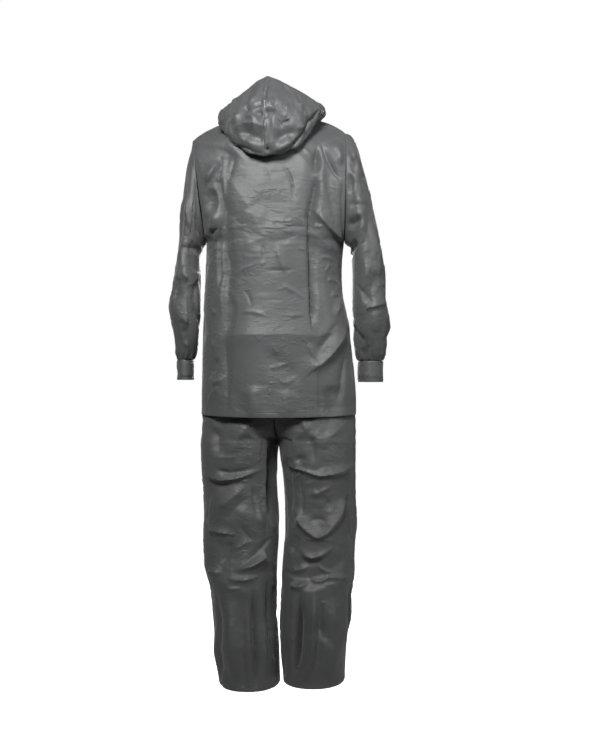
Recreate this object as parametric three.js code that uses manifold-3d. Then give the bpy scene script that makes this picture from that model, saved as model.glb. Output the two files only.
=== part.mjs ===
// A rain suit as it is worn: a hooded jacket over trousers, hollow, with nobody in it.
// Millimetres. The back faces -Y, the wearer's right hand is on +X, and +Z is up.
// The origin is in the middle of the neck, level with the tops of the shoulders.
import * as THREE from "three";
import { mergeVertices } from "three/addons/utils/BufferGeometryUtils.js";
import Module from "manifold-3d";

// Cloth and seams
const CLOTH = 1.4; // thickness of one wall
const SEAM = 0.3; // gap between two pieces at a seam
const TURN = 0.113; // slope of the wearer's slight turn: the right side is nearer to the viewer

// Columns of every panel, counted from the centre of the body to the side seam
const NECK_SHARE = 0.5; // share of a panel's top edge that lies on the neckline
const COLUMNS = 12; // grid columns in half a body panel
const ROW_STEPS = 2; // grid rows for each row of a table

// Jacket body below the arms: the edges seen from behind, and the depth at the centre lines
const MID_Y = -5; // the middle of the body's depth
const BODY = table(
  ["z", "left", "right", "back", "front", "wrap"],
  [-672, -177.8, 184.8, -148, 141, 90],
  [-635, -177.6, 184.4, -146, 140, 90],
  [-590, -177, 182, -143, 136, 90],
  [-526, -176, 175, -136, 131, 90],
  [-460, -174, 168, -129, 126, 90],
  [-395, -171, 154, -125, 124, 90],
  [-325, -168, 152, -123, 126, 90],
);
const HEM_DIP = 5; // the hem hangs lower in the middle of the back

// Jacket body beside the armholes: the angle on the armhole counts from the shoulder
const YOKE = table(
  ["armhole", "backZ", "back", "frontZ", "front", "wrap"],
  [180, -272, -122, -272, 128, 90],
  [147, -248, -122, -250, 128, 84],
  [116, -200, -120, -208, 125, 74],
  [86, -146, -115, -160, 116, 66],
  [56, -92, -106, -118, 103, 60],
  [27, -40, -91, -82, 87, 55],
);

// Armholes, each a flat oval from the shoulder point to the underarm point
const ARMHOLES = {
  left: { topX: -197, topZ: -28, lowX: -166, lowZ: -272, y: 9, depth: 74 },
  right: { topX: 161, topZ: -16, lowX: 157, lowZ: -272, y: -19, depth: 74 },
};

// Neckline oval, and the rise of the shoulder seam between neck and shoulder point
const NECK = { x: -12, y: -3, halfWidth: 78, back: 69, front: 77, sideZ: 20, backZ: 7, frontZ: -50 };
const SHOULDER_ARCH = 9;
const SHOULDER_LEAN = 0.3; // the arch is this much stronger at the arm than in its middle

// Sleeves: the outer and the inner edge seen from behind, the middle and half of the depth
const SLEEVE_COLUMNS = ["outX", "outZ", "inX", "inZ", "y", "depth"];
const SLEEVES = {
  left: table(
    SLEEVE_COLUMNS,
    [-202, -50, -170, -277, 8, 76],
    [-210, -86, -174, -283, 6, 78],
    [-217, -132, -176, -291, 3, 79],
    [-228, -190, -177, -303, -1, 78],
    [-234, -252, -178, -325, -5, 75],
    [-240, -315, -179, -358, -9, 71],
    [-248, -372, -179, -398, -12, 68],
    [-254, -416, -179, -430, -13, 64],
    [-247, -458, -180, -464, -10, 60],
    [-239, -497, -183, -497, -3, 54],
    [-236, -525, -188, -523, 5, 48],
    [-236, -544, -194, -544, 11, 43],
  ),
  right: table(
    SLEEVE_COLUMNS,
    [176, -24, 162, -277, -19, 76],
    [191, -49, 167, -283, -19, 79],
    [204, -92, 171, -291, -20, 81],
    [216, -145, 174, -301, -21, 80],
    [227, -210, 175, -316, -23, 77],
    [239, -275, 176, -342, -25, 73],
    [247, -338, 176, -376, -26, 69],
    [254, -398, 176, -414, -25, 66],
    [262, -455, 177, -458, -20, 62],
    [261, -498, 179, -496, -12, 56],
    [255, -528, 184, -526, -3, 49],
    [250, -547, 189, -547, 4, 43],
  ),
};
const SLEEVE_SIDES = 16;

// Cuff bands, and the tabs on them
const CUFFS = {
  left: { top: -544, bottom: -592, outX: -236, inX: -196, y: 11, depth: 42 },
  right: { top: -547, bottom: -597, outX: 250, inX: 190, y: 4, depth: 42 },
};
const TAB = { steps: 4, width: 28, below: 10, first: 3 }; // it covers these steps of the cuff's ring

// Hood, worn down: stations round the neck from the centre of the back to the front,
// with the distances outside the neckline and the heights of its fold, roll and brim
const HOOD_COLUMNS = ["foldOut", "foldZ", "rollOut", "rollZ", "brimOut", "brimZ"];
const HOOD = {
  left: table(
    HOOD_COLUMNS,
    [49, -80, 68, -30, 10, 106],
    [48, -75, 67, -27, 12, 95],
    [46, -58, 63, -16, 14, 79],
    [42, -36, 59, -2, 17, 66],
    [36, -6, 53, 12, 20, 54],
    [28, 16, 47, 24, 21, 43],
    [27, 25, 43, 31, 21, 39],
    [27, 22, 40, 29, 20, 36],
    [27, 10, 36, 19, 20, 24],
    [26, -8, 34, 2, 20, 8],
    [25, -30, 32, -20, 19, -12],
    [23, -46, 28, -38, 17, -30],
    [20, -54, 24, -47, 15, -38],
  ),
  right: table(
    HOOD_COLUMNS,
    [49, -80, 68, -30, 10, 106],
    [48, -77, 68, -27, 12, 98],
    [46, -62, 66, -14, 16, 86],
    [42, -38, 62, 2, 22, 74],
    [36, -4, 57, 18, 28, 63],
    [30, 18, 52, 29, 31, 52],
    [28, 25, 47, 34, 28, 44],
    [27, 22, 42, 30, 23, 37],
    [27, 10, 36, 19, 20, 24],
    [26, -8, 34, 2, 20, 8],
    [25, -30, 32, -20, 19, -12],
    [23, -46, 28, -38, 17, -30],
    [20, -54, 24, -47, 15, -38],
  ),
};

// Profile of the hood from its neck seam to the brim: each point lies between two of the stops
// neck, over, fold, roll and brim, at a share of the way out and up, and is then moved
const HOOD_OVER = 14; // distance at which the hood turns down over its stand
const HOOD_PROFILE = table(
  ["from", "to", "outShare", "upShare", "moveOut", "moveUp"],
  ["neck", "neck", 0, 0, 0, SEAM],
  ["neck", "neck", 0, 0, 1, 8.4],
  ["neck", "neck", 0, 0, 5, 12],
  ["neck", "neck", 0, 0, 11, 7.2],
  ["over", "fold", 0.55, 0.5, 0, 3],
  ["fold", "fold", 0, 0, 0, 6],
  ["fold", "roll", 0.5, 0, 0, 0],
  ["fold", "roll", 1, 0.45, -1, 0],
  ["roll", "brim", 0, 0.25, 0, 0],
  ["roll", "brim", 0.5, 0.68, 0, 0],
  ["brim", "brim", 0, 0, 0, 0],
);

// Trousers: the outer and inner edge of each leg seen from behind, and its depth
const CROTCH_X = 4;
const LEG_COLUMNS = ["z", "outer", "inner", "back", "front", "round"];
const LEGS = {
  left: table(
    LEG_COLUMNS,
    [-1300, -133, 6, -80, 72, 2.2],
    [-1225, -142, 4.5, -85, 66, 2.3],
    [-1150, -150, 1, -87, 67, 2.3],
    [-1085, -157, -1, -85, 73, 2.3],
    [-1020, -165, 0, -81, 83, 2.3],
    [-955, -173, 3, -80, 90, 2.3],
    [-860, -175, 0, -89, 101, 2.3],
    [-780, -177, -2, -99, 105, 2.3],
    [-735, -177.5, 3.6, -103, 104, 2.15],
    [-708, -176, 34, -104, 98, 2],
    [-650, -174.6, 112, -104, 98, 2],
    [-540, -166, 142, -108, 104, 2],
    [-415, -134, 142, -100, 98, 2],
  ),
  right: table(
    LEG_COLUMNS,
    [-1290, 158, 16, -80, 72, 2.2],
    [-1225, 164, 9.5, -85, 66, 2.3],
    [-1150, 170, 8.5, -87, 67, 2.3],
    [-1085, 175, 10, -85, 73, 2.3],
    [-1020, 180, 14, -81, 83, 2.3],
    [-955, 182, 18, -80, 90, 2.3],
    [-860, 183, 16.5, -89, 101, 2.3],
    [-780, 183.5, 10, -99, 105, 2.3],
    [-735, 184, 4.4, -103, 104, 2.15],
    [-708, 182.2, -26, -104, 96, 2],
    [-650, 180.8, -104, -104, 96, 2],
    [-540, 170, -134, -108, 104, 2],
    [-415, 142, -134, -100, 98, 2],
  ),
};
const CROTCH_ROW = 8; // the row of each leg's table at the crotch
const LEG_STEPS = 8; // grid columns in a leg panel
const HEM_BACK_DROP = 11; // the leg hems hang lower behind than in front
const WAISTBAND = 38; // height of the waistband

// Front zip: the tapes lie behind the edges of the fronts, the slider is near the top
const ZIP = { topX: -3, lowX: 17, gap: 14, tapeWidth: 18, tape: 1.2, sliderRow: 1, ease: 4 };
const SLIDER = { width: 10, length: 13, plate: 1.6, chainWidth: 6.8, chainHeight: 2.2, bridge: 2.2 };
const BRIDGE = { length: 9, height: 4, holeLength: 6, holeLow: 0.8, holeHigh: 3 };
const PULL = {
  width: 8, length: 24, thick: 1.5,
  bar: 0.8, arm: 1.5, reach: 7.2,
  lean: 6, play: 0.6, rest: 0.4,
};

// The largest folds: the line of each seen from its side, its half width, and its height outwards
const SEAM_FADE = { rows: 3, columns: 2 }; // the folds fade within these grid lines of a seam
const FOLD_COLUMNS = ["x0", "z0", "x1", "z1", "width", "rise"];
const BACK_FOLDS = table(
  FOLD_COLUMNS,
  [-104, -60, -121, -170, 15, -7],
  [-121, -170, -112, -300, 14, -8],
  [-112, -300, -122, -640, 17, -7],
  [92, -56, 80, -190, 15, -8],
  [80, -190, 88, -330, 14, -11],
  [88, -330, 96, -500, 18, -8],
  [-132, -84, -168, -140, 13, 8],
  [-148, -150, -150, -215, 15, -8],
  [-138, -205, -150, -255, 12, 7],
  [125, -40, 161, -105, 14, 8],
  [112, -70, 138, -240, 13, -8],
  [84, -180, 158, -262, 13, -7],
  [60, -250, 150, -300, 15, 6],
  [66, -495, 98, -560, 15, -6],
  [98, -560, 160, -470, 17, 6],
  [-30, -520, 60, -600, 18, -5],
  [-60, -600, -52, -672, 20, 6],
  [30, -610, 24, -672, 20, 5],
  [130, -600, 136, -672, 22, -6],
);
const FRONT_FOLDS = table(
  FOLD_COLUMNS,
  [-150, -120, -118, -240, 14, -8],
  [-118, -240, -112, -470, 16, -7],
  [-60, -300, -74, -640, 18, -6],
  [130, -110, 104, -250, 14, -8],
  [104, -250, 110, -500, 17, -7],
  [58, -330, 70, -650, 18, -6],
  [-120, -540, -50, -600, 17, 5],
  [60, -520, 140, -590, 17, 5],
);
const SLEEVE_FOLDS = {
  left: table(
    FOLD_COLUMNS,
    [-214, -140, -198, -200, 11, 5],
    [-206, -235, -184, -290, 12, 6],
    [-222, -278, -192, -278, 9, -5],
    [-226, -432, -190, -484, 12, 6],
    [-240, -360, -196, -372, 12, -5],
    [-244, -452, -206, -440, 11, -5],
  ),
  right: table(
    FOLD_COLUMNS,
    [182, -100, 184, -150, 10, -6],
    [176, -256, 214, -230, 11, -6],
    [182, -300, 222, -330, 12, 6],
    [182, -432, 258, -408, 11, -5],
    [186, -462, 214, -512, 12, 6],
    [240, -470, 216, -520, 11, -5],
  ),
};
const LEG_FOLDS = {
  left: table(
    FOLD_COLUMNS,
    [-146, -808, -30, -816, 15, 6],
    [-120, -1056, -10, -1066, 14, -6],
    [-166, -950, -96, -962, 13, 6],
    [2, -970, -46, -1022, 14, 6],
    [-46, -1022, -120, -1044, 13, 5],
    [-56, -1066, -40, -1300, 15, -8],
    [-44, -750, -40, -960, 17, -8],
    [-112, -830, -120, -930, 16, 5],
  ),
  right: table(
    FOLD_COLUMNS,
    [16, -792, 160, -802, 14, -6],
    [80, -724, 86, -790, 15, 7],
    [32, -890, 96, -965, 13, -6],
    [96, -965, 168, -860, 14, -5],
    [56, -985, 140, -985, 12, 6],
    [20, -1056, 160, -1060, 14, -5],
    [52, -1088, 36, -1280, 15, -7],
    [88, -1160, 70, -1290, 16, 6],
  ),
};

// Colours of the cloth and of the fittings
const GREY_CLOTH = { color: 0x5f6062, roughness: 0.5, metalness: 0 };
const GREY_TAPE = { color: 0x3c3d3f, roughness: 0.8, metalness: 0 };
const GREY_METAL = { color: 0x77797c, roughness: 0.35, metalness: 0.9 };

// Turns rows of numbers into rows with named columns.
function table(columns, ...rows) {
  return rows.map((row) => Object.fromEntries(columns.map((name, i) => [name, row[i]])));
}

const mix = (a, b, t) => a + (b - a) * t;
const radians = THREE.MathUtils.degToRad;
const point = (x, y, z) => new THREE.Vector3(x, y, z);

// A smooth curve through evenly counted points, at parameter t from 0 to the last point's number.
function alongPoints(points, t) {
  const last = points.length - 1;
  const start = Math.min(Math.floor(t), last - 1);
  const s = t - start;
  const at = (i) => points[Math.max(0, Math.min(last, i))];
  const before = at(start - 1);
  const from = at(start);
  const to = at(start + 1);
  const after = at(start + 2);
  const leave = to.clone().sub(before).multiplyScalar(start > 0 ? 0.5 : 1);
  const arrive = after.clone().sub(from).multiplyScalar(start + 2 <= last ? 0.5 : 1);
  const s2 = s * s;
  const s3 = s2 * s;
  return from.clone().multiplyScalar(2 * s3 - 3 * s2 + 1)
    .addScaledVector(leave, s3 - 2 * s2 + s)
    .addScaledVector(to, 3 * s2 - 2 * s3)
    .addScaledVector(arrive, s3 - s2);
}

// Fills in rows between the key rows of a grid, each row being a list of points.
function refine(keyRows, steps) {
  const count = (keyRows.length - 1) * steps;
  const columns = keyRows[0].map((_, i) => keyRows.map((row) => row[i]));
  return Array.from({ length: count + 1 }, (_, j) => columns.map((column) => alongPoints(column, j / steps)));
}

// Unit normals of a grid of points, pointing to the side that `outward` gives.
function gridNormals(grid, { loop = false, outward = 1 } = {}) {
  const rows = grid.length;
  const columns = grid[0].length;
  const wrap = (i) => (loop ? (i + columns) % columns : Math.max(0, Math.min(columns - 1, i)));
  return grid.map((row, j) => row.map((_, i) => {
    const across = row[wrap(i + 1)].clone().sub(row[wrap(i - 1)]);
    const up = grid[Math.min(rows - 1, j + 1)][i].clone().sub(grid[Math.max(0, j - 1)][i]);
    return across.cross(up).multiplyScalar(outward).normalize();
  }));
}

// How far the folds of a table push a place outwards, seen in the plane of x and z.
function foldRise(folds, place) {
  let rise = 0;
  for (const fold of folds) {
    const runX = fold.x1 - fold.x0;
    const runZ = fold.z1 - fold.z0;
    const length = Math.hypot(runX, runZ);
    const along = ((place.x - fold.x0) * runX + (place.z - fold.z0) * runZ) / (length * length);
    const aside = ((place.x - fold.x0) * runZ - (place.z - fold.z0) * runX) / length;
    const past = Math.max(0, -along, along - 1) * length;
    rise += fold.rise * Math.exp(-((aside / fold.width) ** 2) - (past / fold.width) ** 2);
  }
  return rise;
}

// Moves the points of a grid along its normals by its folds, and leaves its seams in place.
function addFolds(grid, folds, options, keep) {
  const normals = gridNormals(grid, options);
  return grid.map((row, j) => row.map((place, i) => {
    return place.clone().addScaledVector(normals[j][i], foldRise(folds, place) * keep(j, i));
  }));
}

// Fades the folds to nothing by a number of grid lines from a seam.
const fadeRows = (steps) => Math.min(1, Math.max(0, steps) / SEAM_FADE.rows);
const fadeColumns = (steps) => Math.min(1, Math.max(0, steps) / SEAM_FADE.columns);

// A wall of cloth under a grid of outer points: outer skin, inner skin and the edges between.
function clothWall(grid, options = {}, trim = null, thickness = CLOTH) {
  const { loop = false, outward = 1 } = options;
  const rows = grid.length;
  const columns = grid[0].length;
  const normals = gridNormals(grid, options);
  const positions = [];
  grid.forEach((row) => row.forEach((p) => positions.push(p.x, p.y, p.z)));
  grid.forEach((row, j) => row.forEach((p, i) => {
    const normal = normals[j][i];
    if (trim) trim(normal, j, i);
    const inner = p.clone().addScaledVector(normal.normalize(), -thickness);
    positions.push(inner.x, inner.y, inner.z);
  }));
  const outer = (j, i) => j * columns + (i % columns);
  const inner = (j, i) => rows * columns + outer(j, i);
  const index = [];
  const quad = (a, b, c, d) => {
    if (outward > 0) index.push(a, b, c, a, c, d);
    else index.push(a, c, b, a, d, c);
  };
  const cells = loop ? columns : columns - 1;
  for (let j = 0; j < rows - 1; j++) {
    for (let i = 0; i < cells; i++) {
      quad(outer(j, i), outer(j, i + 1), outer(j + 1, i + 1), outer(j + 1, i));
      quad(inner(j, i), inner(j + 1, i), inner(j + 1, i + 1), inner(j, i + 1));
    }
  }
  for (let i = 0; i < cells; i++) {
    quad(outer(0, i + 1), outer(0, i), inner(0, i), inner(0, i + 1));
    quad(outer(rows - 1, i), outer(rows - 1, i + 1), inner(rows - 1, i + 1), inner(rows - 1, i));
  }
  if (!loop) {
    for (let j = 0; j < rows - 1; j++) {
      quad(outer(j, 0), outer(j + 1, 0), inner(j + 1, 0), inner(j, 0));
      const end = columns - 1;
      quad(outer(j + 1, end), outer(j, end), inner(j, end), inner(j + 1, end));
    }
  }
  const geometry = new THREE.BufferGeometry();
  geometry.setAttribute("position", new THREE.Float32BufferAttribute(positions, 3));
  geometry.setIndex(index);
  geometry.computeVertexNormals();
  return geometry;
}

const suit = new THREE.Group();
suit.name = "rain_suit";

function add(name, geometry, look) {
  const mesh = new THREE.Mesh(geometry, new THREE.MeshStandardMaterial(look));
  mesh.name = name;
  suit.add(mesh);
  return mesh;
}

// A point on an armhole, by the angle from the shoulder point; face is -1 behind and 1 in front.
function armholePoint(side, degrees, face) {
  const hole = ARMHOLES[side];
  const turn = (1 + Math.cos(radians(degrees))) / 2;
  const x = mix(hole.lowX, hole.topX, turn);
  const z = mix(hole.lowZ, hole.topZ, turn);
  return point(x, hole.y + face * hole.depth * Math.sin(radians(degrees)), z);
}

// A point on an arc from the centre line out to an edge, at share 0 to 1.
function arcPoint(centre, edge, share, wrapDegrees) {
  const wrap = radians(wrapDegrees);
  const out = Math.sin(share * wrap) / Math.sin(wrap);
  const round = (Math.cos(share * wrap) - Math.cos(wrap)) / (1 - Math.cos(wrap));
  return point(
    mix(centre.x, edge.x, out),
    mix(edge.y, centre.y, round),
    mix(edge.z, centre.z, round),
  );
}

// Height of the neckline, by the turn from the centre line.
function neckHeight(turn, face) {
  return mix(face < 0 ? NECK.backZ : NECK.frontZ, NECK.sideZ, Math.sin(turn) ** 2);
}

// A point outside the neckline; across and behind are the sine and cosine of the turn round it.
function neckPoint(across, behind, out, z) {
  const x = across * (NECK.halfWidth + out);
  const y = behind * ((behind < 0 ? NECK.back : NECK.front) + out);
  return point(NECK.x + x + TURN * y, NECK.y + y - TURN * x, z);
}

// The top edge of a body panel: the neckline up to its share, then the shoulder seam.
function topEdgePoint(side, share, face) {
  const sign = side === "left" ? -1 : 1;
  const onNeck = (turn) => neckPoint(sign * Math.sin(turn), face * Math.cos(turn), 0, neckHeight(turn, face));
  if (share <= NECK_SHARE) return onNeck((share / NECK_SHARE) * Math.PI / 2);
  const corner = onNeck(Math.PI / 2);
  const shoulder = armholePoint(side, 0, face);
  const t = (share - NECK_SHARE) / (1 - NECK_SHARE);
  const seam = corner.lerp(shoulder, t);
  seam.z += SHOULDER_ARCH * 4 * t * (1 - t) * (1 + SHOULDER_LEAN * (2 * t - 1));
  return seam;
}

// The x of the zip's centre line at a height.
function zipX(z) {
  return mix(ZIP.topX, ZIP.lowX, (z - NECK.frontZ) / (BODY[0].z - NECK.frontZ));
}

// Key rows of one half of a body panel, from the centre line to the side seam or armhole.
function bodyKeyRows(side, face) {
  const rows = BODY.map((row) => {
    const middle = (row.left + row.right) / 2;
    const depth = face < 0 ? row.back : row.front;
    const centre = point(middle + TURN * (depth - MID_Y), depth, row.z);
    const edgeX = row[side];
    const edge = point(edgeX, MID_Y - TURN * (edgeX - middle), row.z);
    return SHARES.map((share) => arcPoint(centre, edge, share, row.wrap));
  });
  YOKE.forEach((row) => {
    const z = face < 0 ? row.backZ : row.frontZ;
    const depth = face < 0 ? row.back : row.front;
    const centre = point(YOKE_X + TURN * (depth - MID_Y), depth, z);
    const edge = armholePoint(side, row.armhole, face);
    rows.push(SHARES.map((share) => arcPoint(centre, edge, share, row.wrap)));
  });
  rows.push(SHARES.map((share) => topEdgePoint(side, share, face)));
  if (face < 0) {
    rows[0].forEach((p, i) => { p.z -= HEM_DIP * Math.cos(SHARES[i] * Math.PI / 2); });
  }
  rows.forEach((row) => row.forEach((p) => { p.y += face * SEAM / 2; }));
  return rows;
}

// Fills in the rows below and above the underarm apart, so that the side seams stay straight.
function refineBody(keyRows) {
  const below = refine(keyRows.slice(0, BODY.length + 1), ROW_STEPS);
  const above = refine(keyRows.slice(BODY.length), ROW_STEPS);
  return [...below, ...above.slice(1)];
}

const UNDERARM_ROW = BODY.length * ROW_STEPS;
const TOP_ROW = (BODY.length + YOKE.length) * ROW_STEPS;
const SHARES = Array.from({ length: COLUMNS + 1 }, (_, i) => i / COLUMNS);
const YOKE_X = (ARMHOLES.left.lowX + ARMHOLES.right.lowX) / 2;

// Walls of neighbouring panels run side by side at their seams, so they can't cross there.
function trimBodyWall(share) {
  return (normal, j, i) => {
    const out = share(i);
    if (j === TOP_ROW && out >= NECK_SHARE) normal.y = 0;
    if (out < 1) return;
    if (j > UNDERARM_ROW && j < TOP_ROW) normal.x = 0;
    if (j <= UNDERARM_ROW) normal.y = 0;
  };
}

function jacketBack() {
  const leftRows = bodyKeyRows("left", -1);
  const rightRows = bodyKeyRows("right", -1);
  const grid = refineBody(leftRows.map((row, j) => [...row.slice(1).reverse(), ...rightRows[j]]));
  const keep = (j, i) => fadeRows(TOP_ROW - j) * fadeColumns(Math.min(i, 2 * COLUMNS - i));
  const folded = addFolds(grid, BACK_FOLDS, {}, keep);
  return clothWall(folded, {}, trimBodyWall((i) => Math.abs(i - COLUMNS) / COLUMNS));
}

// Moves the inner edge of a front to the zip, and the columns beside it less and less.
function moveToZip(side, p, share, edgeX) {
  const sign = side === "left" ? -1 : 1;
  p.x += (zipX(p.z) + sign * ZIP.gap / 2 - edgeX) * (1 - share) ** ZIP.ease;
}

function frontGrid(side) {
  const keyRows = bodyKeyRows(side, 1);
  keyRows.forEach((row) => {
    const edgeX = row[0].x;
    row.forEach((p, i) => moveToZip(side, p, SHARES[i], edgeX));
  });
  const keep = (j, i) => fadeRows(TOP_ROW - j) * fadeColumns(COLUMNS - i) * fadeColumns(i);
  return addFolds(refineBody(keyRows), FRONT_FOLDS, frontOptions(side), keep);
}

const frontOptions = (side) => ({ outward: side === "left" ? 1 : -1 });

function jacketFront(side) {
  return clothWall(frontGrid(side), frontOptions(side), trimBodyWall((i) => SHARES[i]));
}

// A ring of a sleeve: turn 0 is its outer edge, a quarter is behind and a half is its inner edge.
function sleeveRing(row) {
  return Array.from({ length: SLEEVE_SIDES }, (_, i) => {
    const turn = (i / SLEEVE_SIDES) * 2 * Math.PI;
    const t = (1 + Math.cos(turn)) / 2;
    return point(mix(row.inX, row.outX, t), row.y - row.depth * Math.sin(turn), mix(row.inZ, row.outZ, t));
  });
}

function sleeve(side) {
  const sign = side === "left" ? -1 : 1;
  const hole = ARMHOLES[side];
  const first = {
    outX: hole.topX + sign * SEAM,
    outZ: hole.topZ,
    inX: hole.lowX + sign * SEAM * 2,
    inZ: hole.lowZ,
    y: hole.y,
    depth: hole.depth,
  };
  const options = { loop: true, outward: side === "left" ? 1 : -1 };
  const rings = [first, ...SLEEVES[side]].map(sleeveRing);
  const grid = refine(rings, ROW_STEPS);
  const last = grid.length - 1;
  const keep = (j) => fadeRows(j) * fadeRows(last - j);
  const folded = addFolds(grid, SLEEVE_FOLDS[side], options, keep);
  return clothWall(folded, options, (normal, j) => {
    if (j === 0) normal.x = 0;
    if (j === last) normal.z = 0;
  });
}

function cuffRing(side, z, out = 0) {
  const cuff = CUFFS[side];
  const grow = Math.sign(cuff.outX) * out;
  return sleeveRing({
    outX: cuff.outX + grow,
    outZ: z,
    inX: cuff.inX - grow,
    inZ: z,
    y: cuff.y,
    depth: cuff.depth + out,
  });
}

function cuffBand(side) {
  const cuff = CUFFS[side];
  const heights = [cuff.top - SEAM, mix(cuff.top, cuff.bottom, 0.5), cuff.bottom];
  const rows = heights.map((z) => cuffRing(side, z));
  return clothWall(rows.reverse(), { loop: true, outward: side === "left" ? -1 : 1 });
}

// The tab is a strip of the cuff's own ring, moved out by a wall and a seam gap.
function cuffTab(side) {
  const top = CUFFS[side].top - TAB.below;
  const heights = [top - TAB.width, top - TAB.width / 2, top];
  const end = TAB.first + TAB.steps + 1;
  const rows = heights.map((z) => cuffRing(side, z, CLOTH + SEAM).slice(TAB.first, end));
  return clothWall(rows, { outward: side === "left" ? -1 : 1 });
}

// One half of the hood: from the neckline up its stand, down behind, round the fold and up to the brim.
function hoodHalf(side) {
  const sign = side === "left" ? -1 : 1;
  const stations = HOOD[side].map((row, k) => {
    const turn = (k / (HOOD[side].length - 1)) * Math.PI;
    const face = turn <= Math.PI / 2 ? -1 : 1;
    const neckZ = neckHeight(turn, face);
    const lie = (out, z) => {
      const place = neckPoint(sign * Math.sin(turn), -Math.cos(turn), out, z);
      const share = (1 - turn / Math.PI) * 2 * NECK_SHARE;
      const edgeX = neckPoint(0, 1, 0, 0).x;
      if (face > 0) moveToZip(side, place, share, edgeX);
      return place;
    };
    const stops = {
      neck: [0, neckZ],
      over: [HOOD_OVER, neckZ],
      fold: [row.foldOut, row.foldZ],
      roll: [row.rollOut, row.rollZ],
      brim: [row.brimOut, row.brimZ],
    };
    return HOOD_PROFILE.map(({ from, to, outShare, upShare, moveOut, moveUp }) => {
      const out = mix(stops[from][0], stops[to][0], outShare) + moveOut;
      const up = mix(stops[from][1], stops[to][1], upShare) + moveUp;
      return lie(out, up);
    });
  });
  stations[0].forEach((p) => { p.x += sign * SEAM / 2; });
  return clothWall(stations, { outward: side === "left" ? 1 : -1 }, (normal, j, i) => {
    if (j === 0) normal.x = 0;
    if (i === 0) normal.z = 0;
  });
}

// Turns a place of the trousers with the wearer, about the crotch.
function turned(x, y, z) {
  return point(x + TURN * (y - MID_Y), y - TURN * (x - CROTCH_X), z);
}

// A point of a rounded oval; round is 2 for an ellipse, and more is squarer.
function ovalPoint(middle, half, midY, deep, round, turn, z) {
  const across = Math.sign(Math.cos(turn)) * Math.abs(Math.cos(turn)) ** (2 / round);
  const behind = Math.sign(Math.sin(turn)) * Math.abs(Math.sin(turn)) ** (2 / round);
  return point(middle + half * across, midY + deep * behind, z);
}

// A point of a leg: share 0 is the outside seam, 1 the inside seam or the centre seam above the crotch.
function legPoint(side, row, share, face) {
  const sign = side === "left" ? -1 : 1;
  const middle = (row.outer + row.inner) / 2;
  const half = (row.inner - row.outer) / 2;
  const limit = row.z > LEGS[side][CROTCH_ROW].z ? (CROTCH_X + sign * SEAM / 2 - middle) / half : 1;
  const end = Math.acos(Math.sign(limit) * Math.abs(limit) ** (row.round / 2));
  const turn = face * mix(Math.PI, end, share);
  const midY = (row.back + row.front) / 2;
  const deep = (row.front - row.back) / 2;
  const p = ovalPoint(middle, half, midY, deep, row.round, turn, row.z);
  return turned(p.x, p.y + face * SEAM / 2, p.z);
}

function legPanel(side, face) {
  const shares = Array.from({ length: LEG_STEPS + 1 }, (_, i) => i / LEG_STEPS);
  const keyRows = LEGS[side].map((row) => shares.map((share) => legPoint(side, row, share, face)));
  if (face < 0) {
    keyRows[0].forEach((p, i) => { p.z -= HEM_BACK_DROP * Math.sin(shares[i] * Math.PI); });
  }
  const below = refine(keyRows.slice(0, CROTCH_ROW + 1), ROW_STEPS);
  const above = refine(keyRows.slice(CROTCH_ROW), ROW_STEPS);
  const grid = [...below, ...above.slice(1)];
  const options = { outward: (side === "left" ? 1 : -1) * -face };
  const last = grid.length - 1;
  const crotch = CROTCH_ROW * ROW_STEPS;
  const keep = (j, i) => fadeRows(last - j) * fadeColumns(Math.min(i, LEG_STEPS - i));
  const folded = addFolds(grid, LEG_FOLDS[side], options, keep);
  return clothWall(folded, options, (normal, j, i) => {
    if (i === 0) normal.y = 0;
    if (i === LEG_STEPS && j <= crotch) normal.y = 0;
    if (i === LEG_STEPS && j > crotch) normal.x = 0;
    if (j === last) normal.z = 0;
  });
}

function waistband() {
  const left = LEGS.left.at(-1);
  const right = LEGS.right.at(-1);
  const half = (right.outer - left.outer) / 2;
  const middle = (right.outer + left.outer) / 2;
  const deep = (left.front - left.back) / 2;
  const midY = (left.front + left.back) / 2;
  const sides = LEG_STEPS * 4;
  const rows = [SEAM, WAISTBAND / 2, WAISTBAND].map((rise) => Array.from({ length: sides }, (_, i) => {
    const p = ovalPoint(middle, half, midY, deep, left.round, (i / sides) * 2 * Math.PI, left.z + rise);
    return turned(p.x, p.y, p.z);
  }));
  return clothWall(rows, { loop: true });
}

// A tape goes on from the first cell of its front, on the inside of the wall.
function zipTape(side) {
  const sign = side === "left" ? -1 : 1;
  const front = frontGrid(side);
  const normals = gridNormals(front, frontOptions(side));
  const offsets = [SEAM / 2, ZIP.gap / 2, ZIP.tapeWidth];
  const rows = front.map((row, j) => offsets.map((offset) => {
    const x = zipX(row[0].z) + sign * offset;
    const place = row[0].clone().lerp(row[1], (x - row[0].x) / (row[1].x - row[0].x));
    return place.addScaledVector(normals[j][0], -CLOTH - SEAM);
  }));
  return clothWall(rows, frontOptions(side), (normal, j, i) => {
    if (i === 0) normal.x = 0;
  }, ZIP.tape);
}

const wasm = await Module();
wasm.setup();

// A solid for joining and cutting, from a closed three.js geometry.
function solid(geometry) {
  geometry.deleteAttribute("normal");
  geometry.deleteAttribute("uv");
  const merged = mergeVertices(geometry);
  return new wasm.Manifold(new wasm.Mesh({
    numProp: 3,
    vertProperties: merged.attributes.position.array,
    triVerts: new Uint32Array(merged.index.array),
  }));
}

function toGeometry(manifold) {
  const { vertProperties, triVerts } = manifold.getMesh();
  const geometry = new THREE.BufferGeometry();
  geometry.setAttribute("position", new THREE.BufferAttribute(new Float32Array(vertProperties), 3));
  geometry.setIndex(new THREE.BufferAttribute(new Uint32Array(triVerts), 1));
  geometry.computeVertexNormals();
  return geometry;
}

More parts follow.
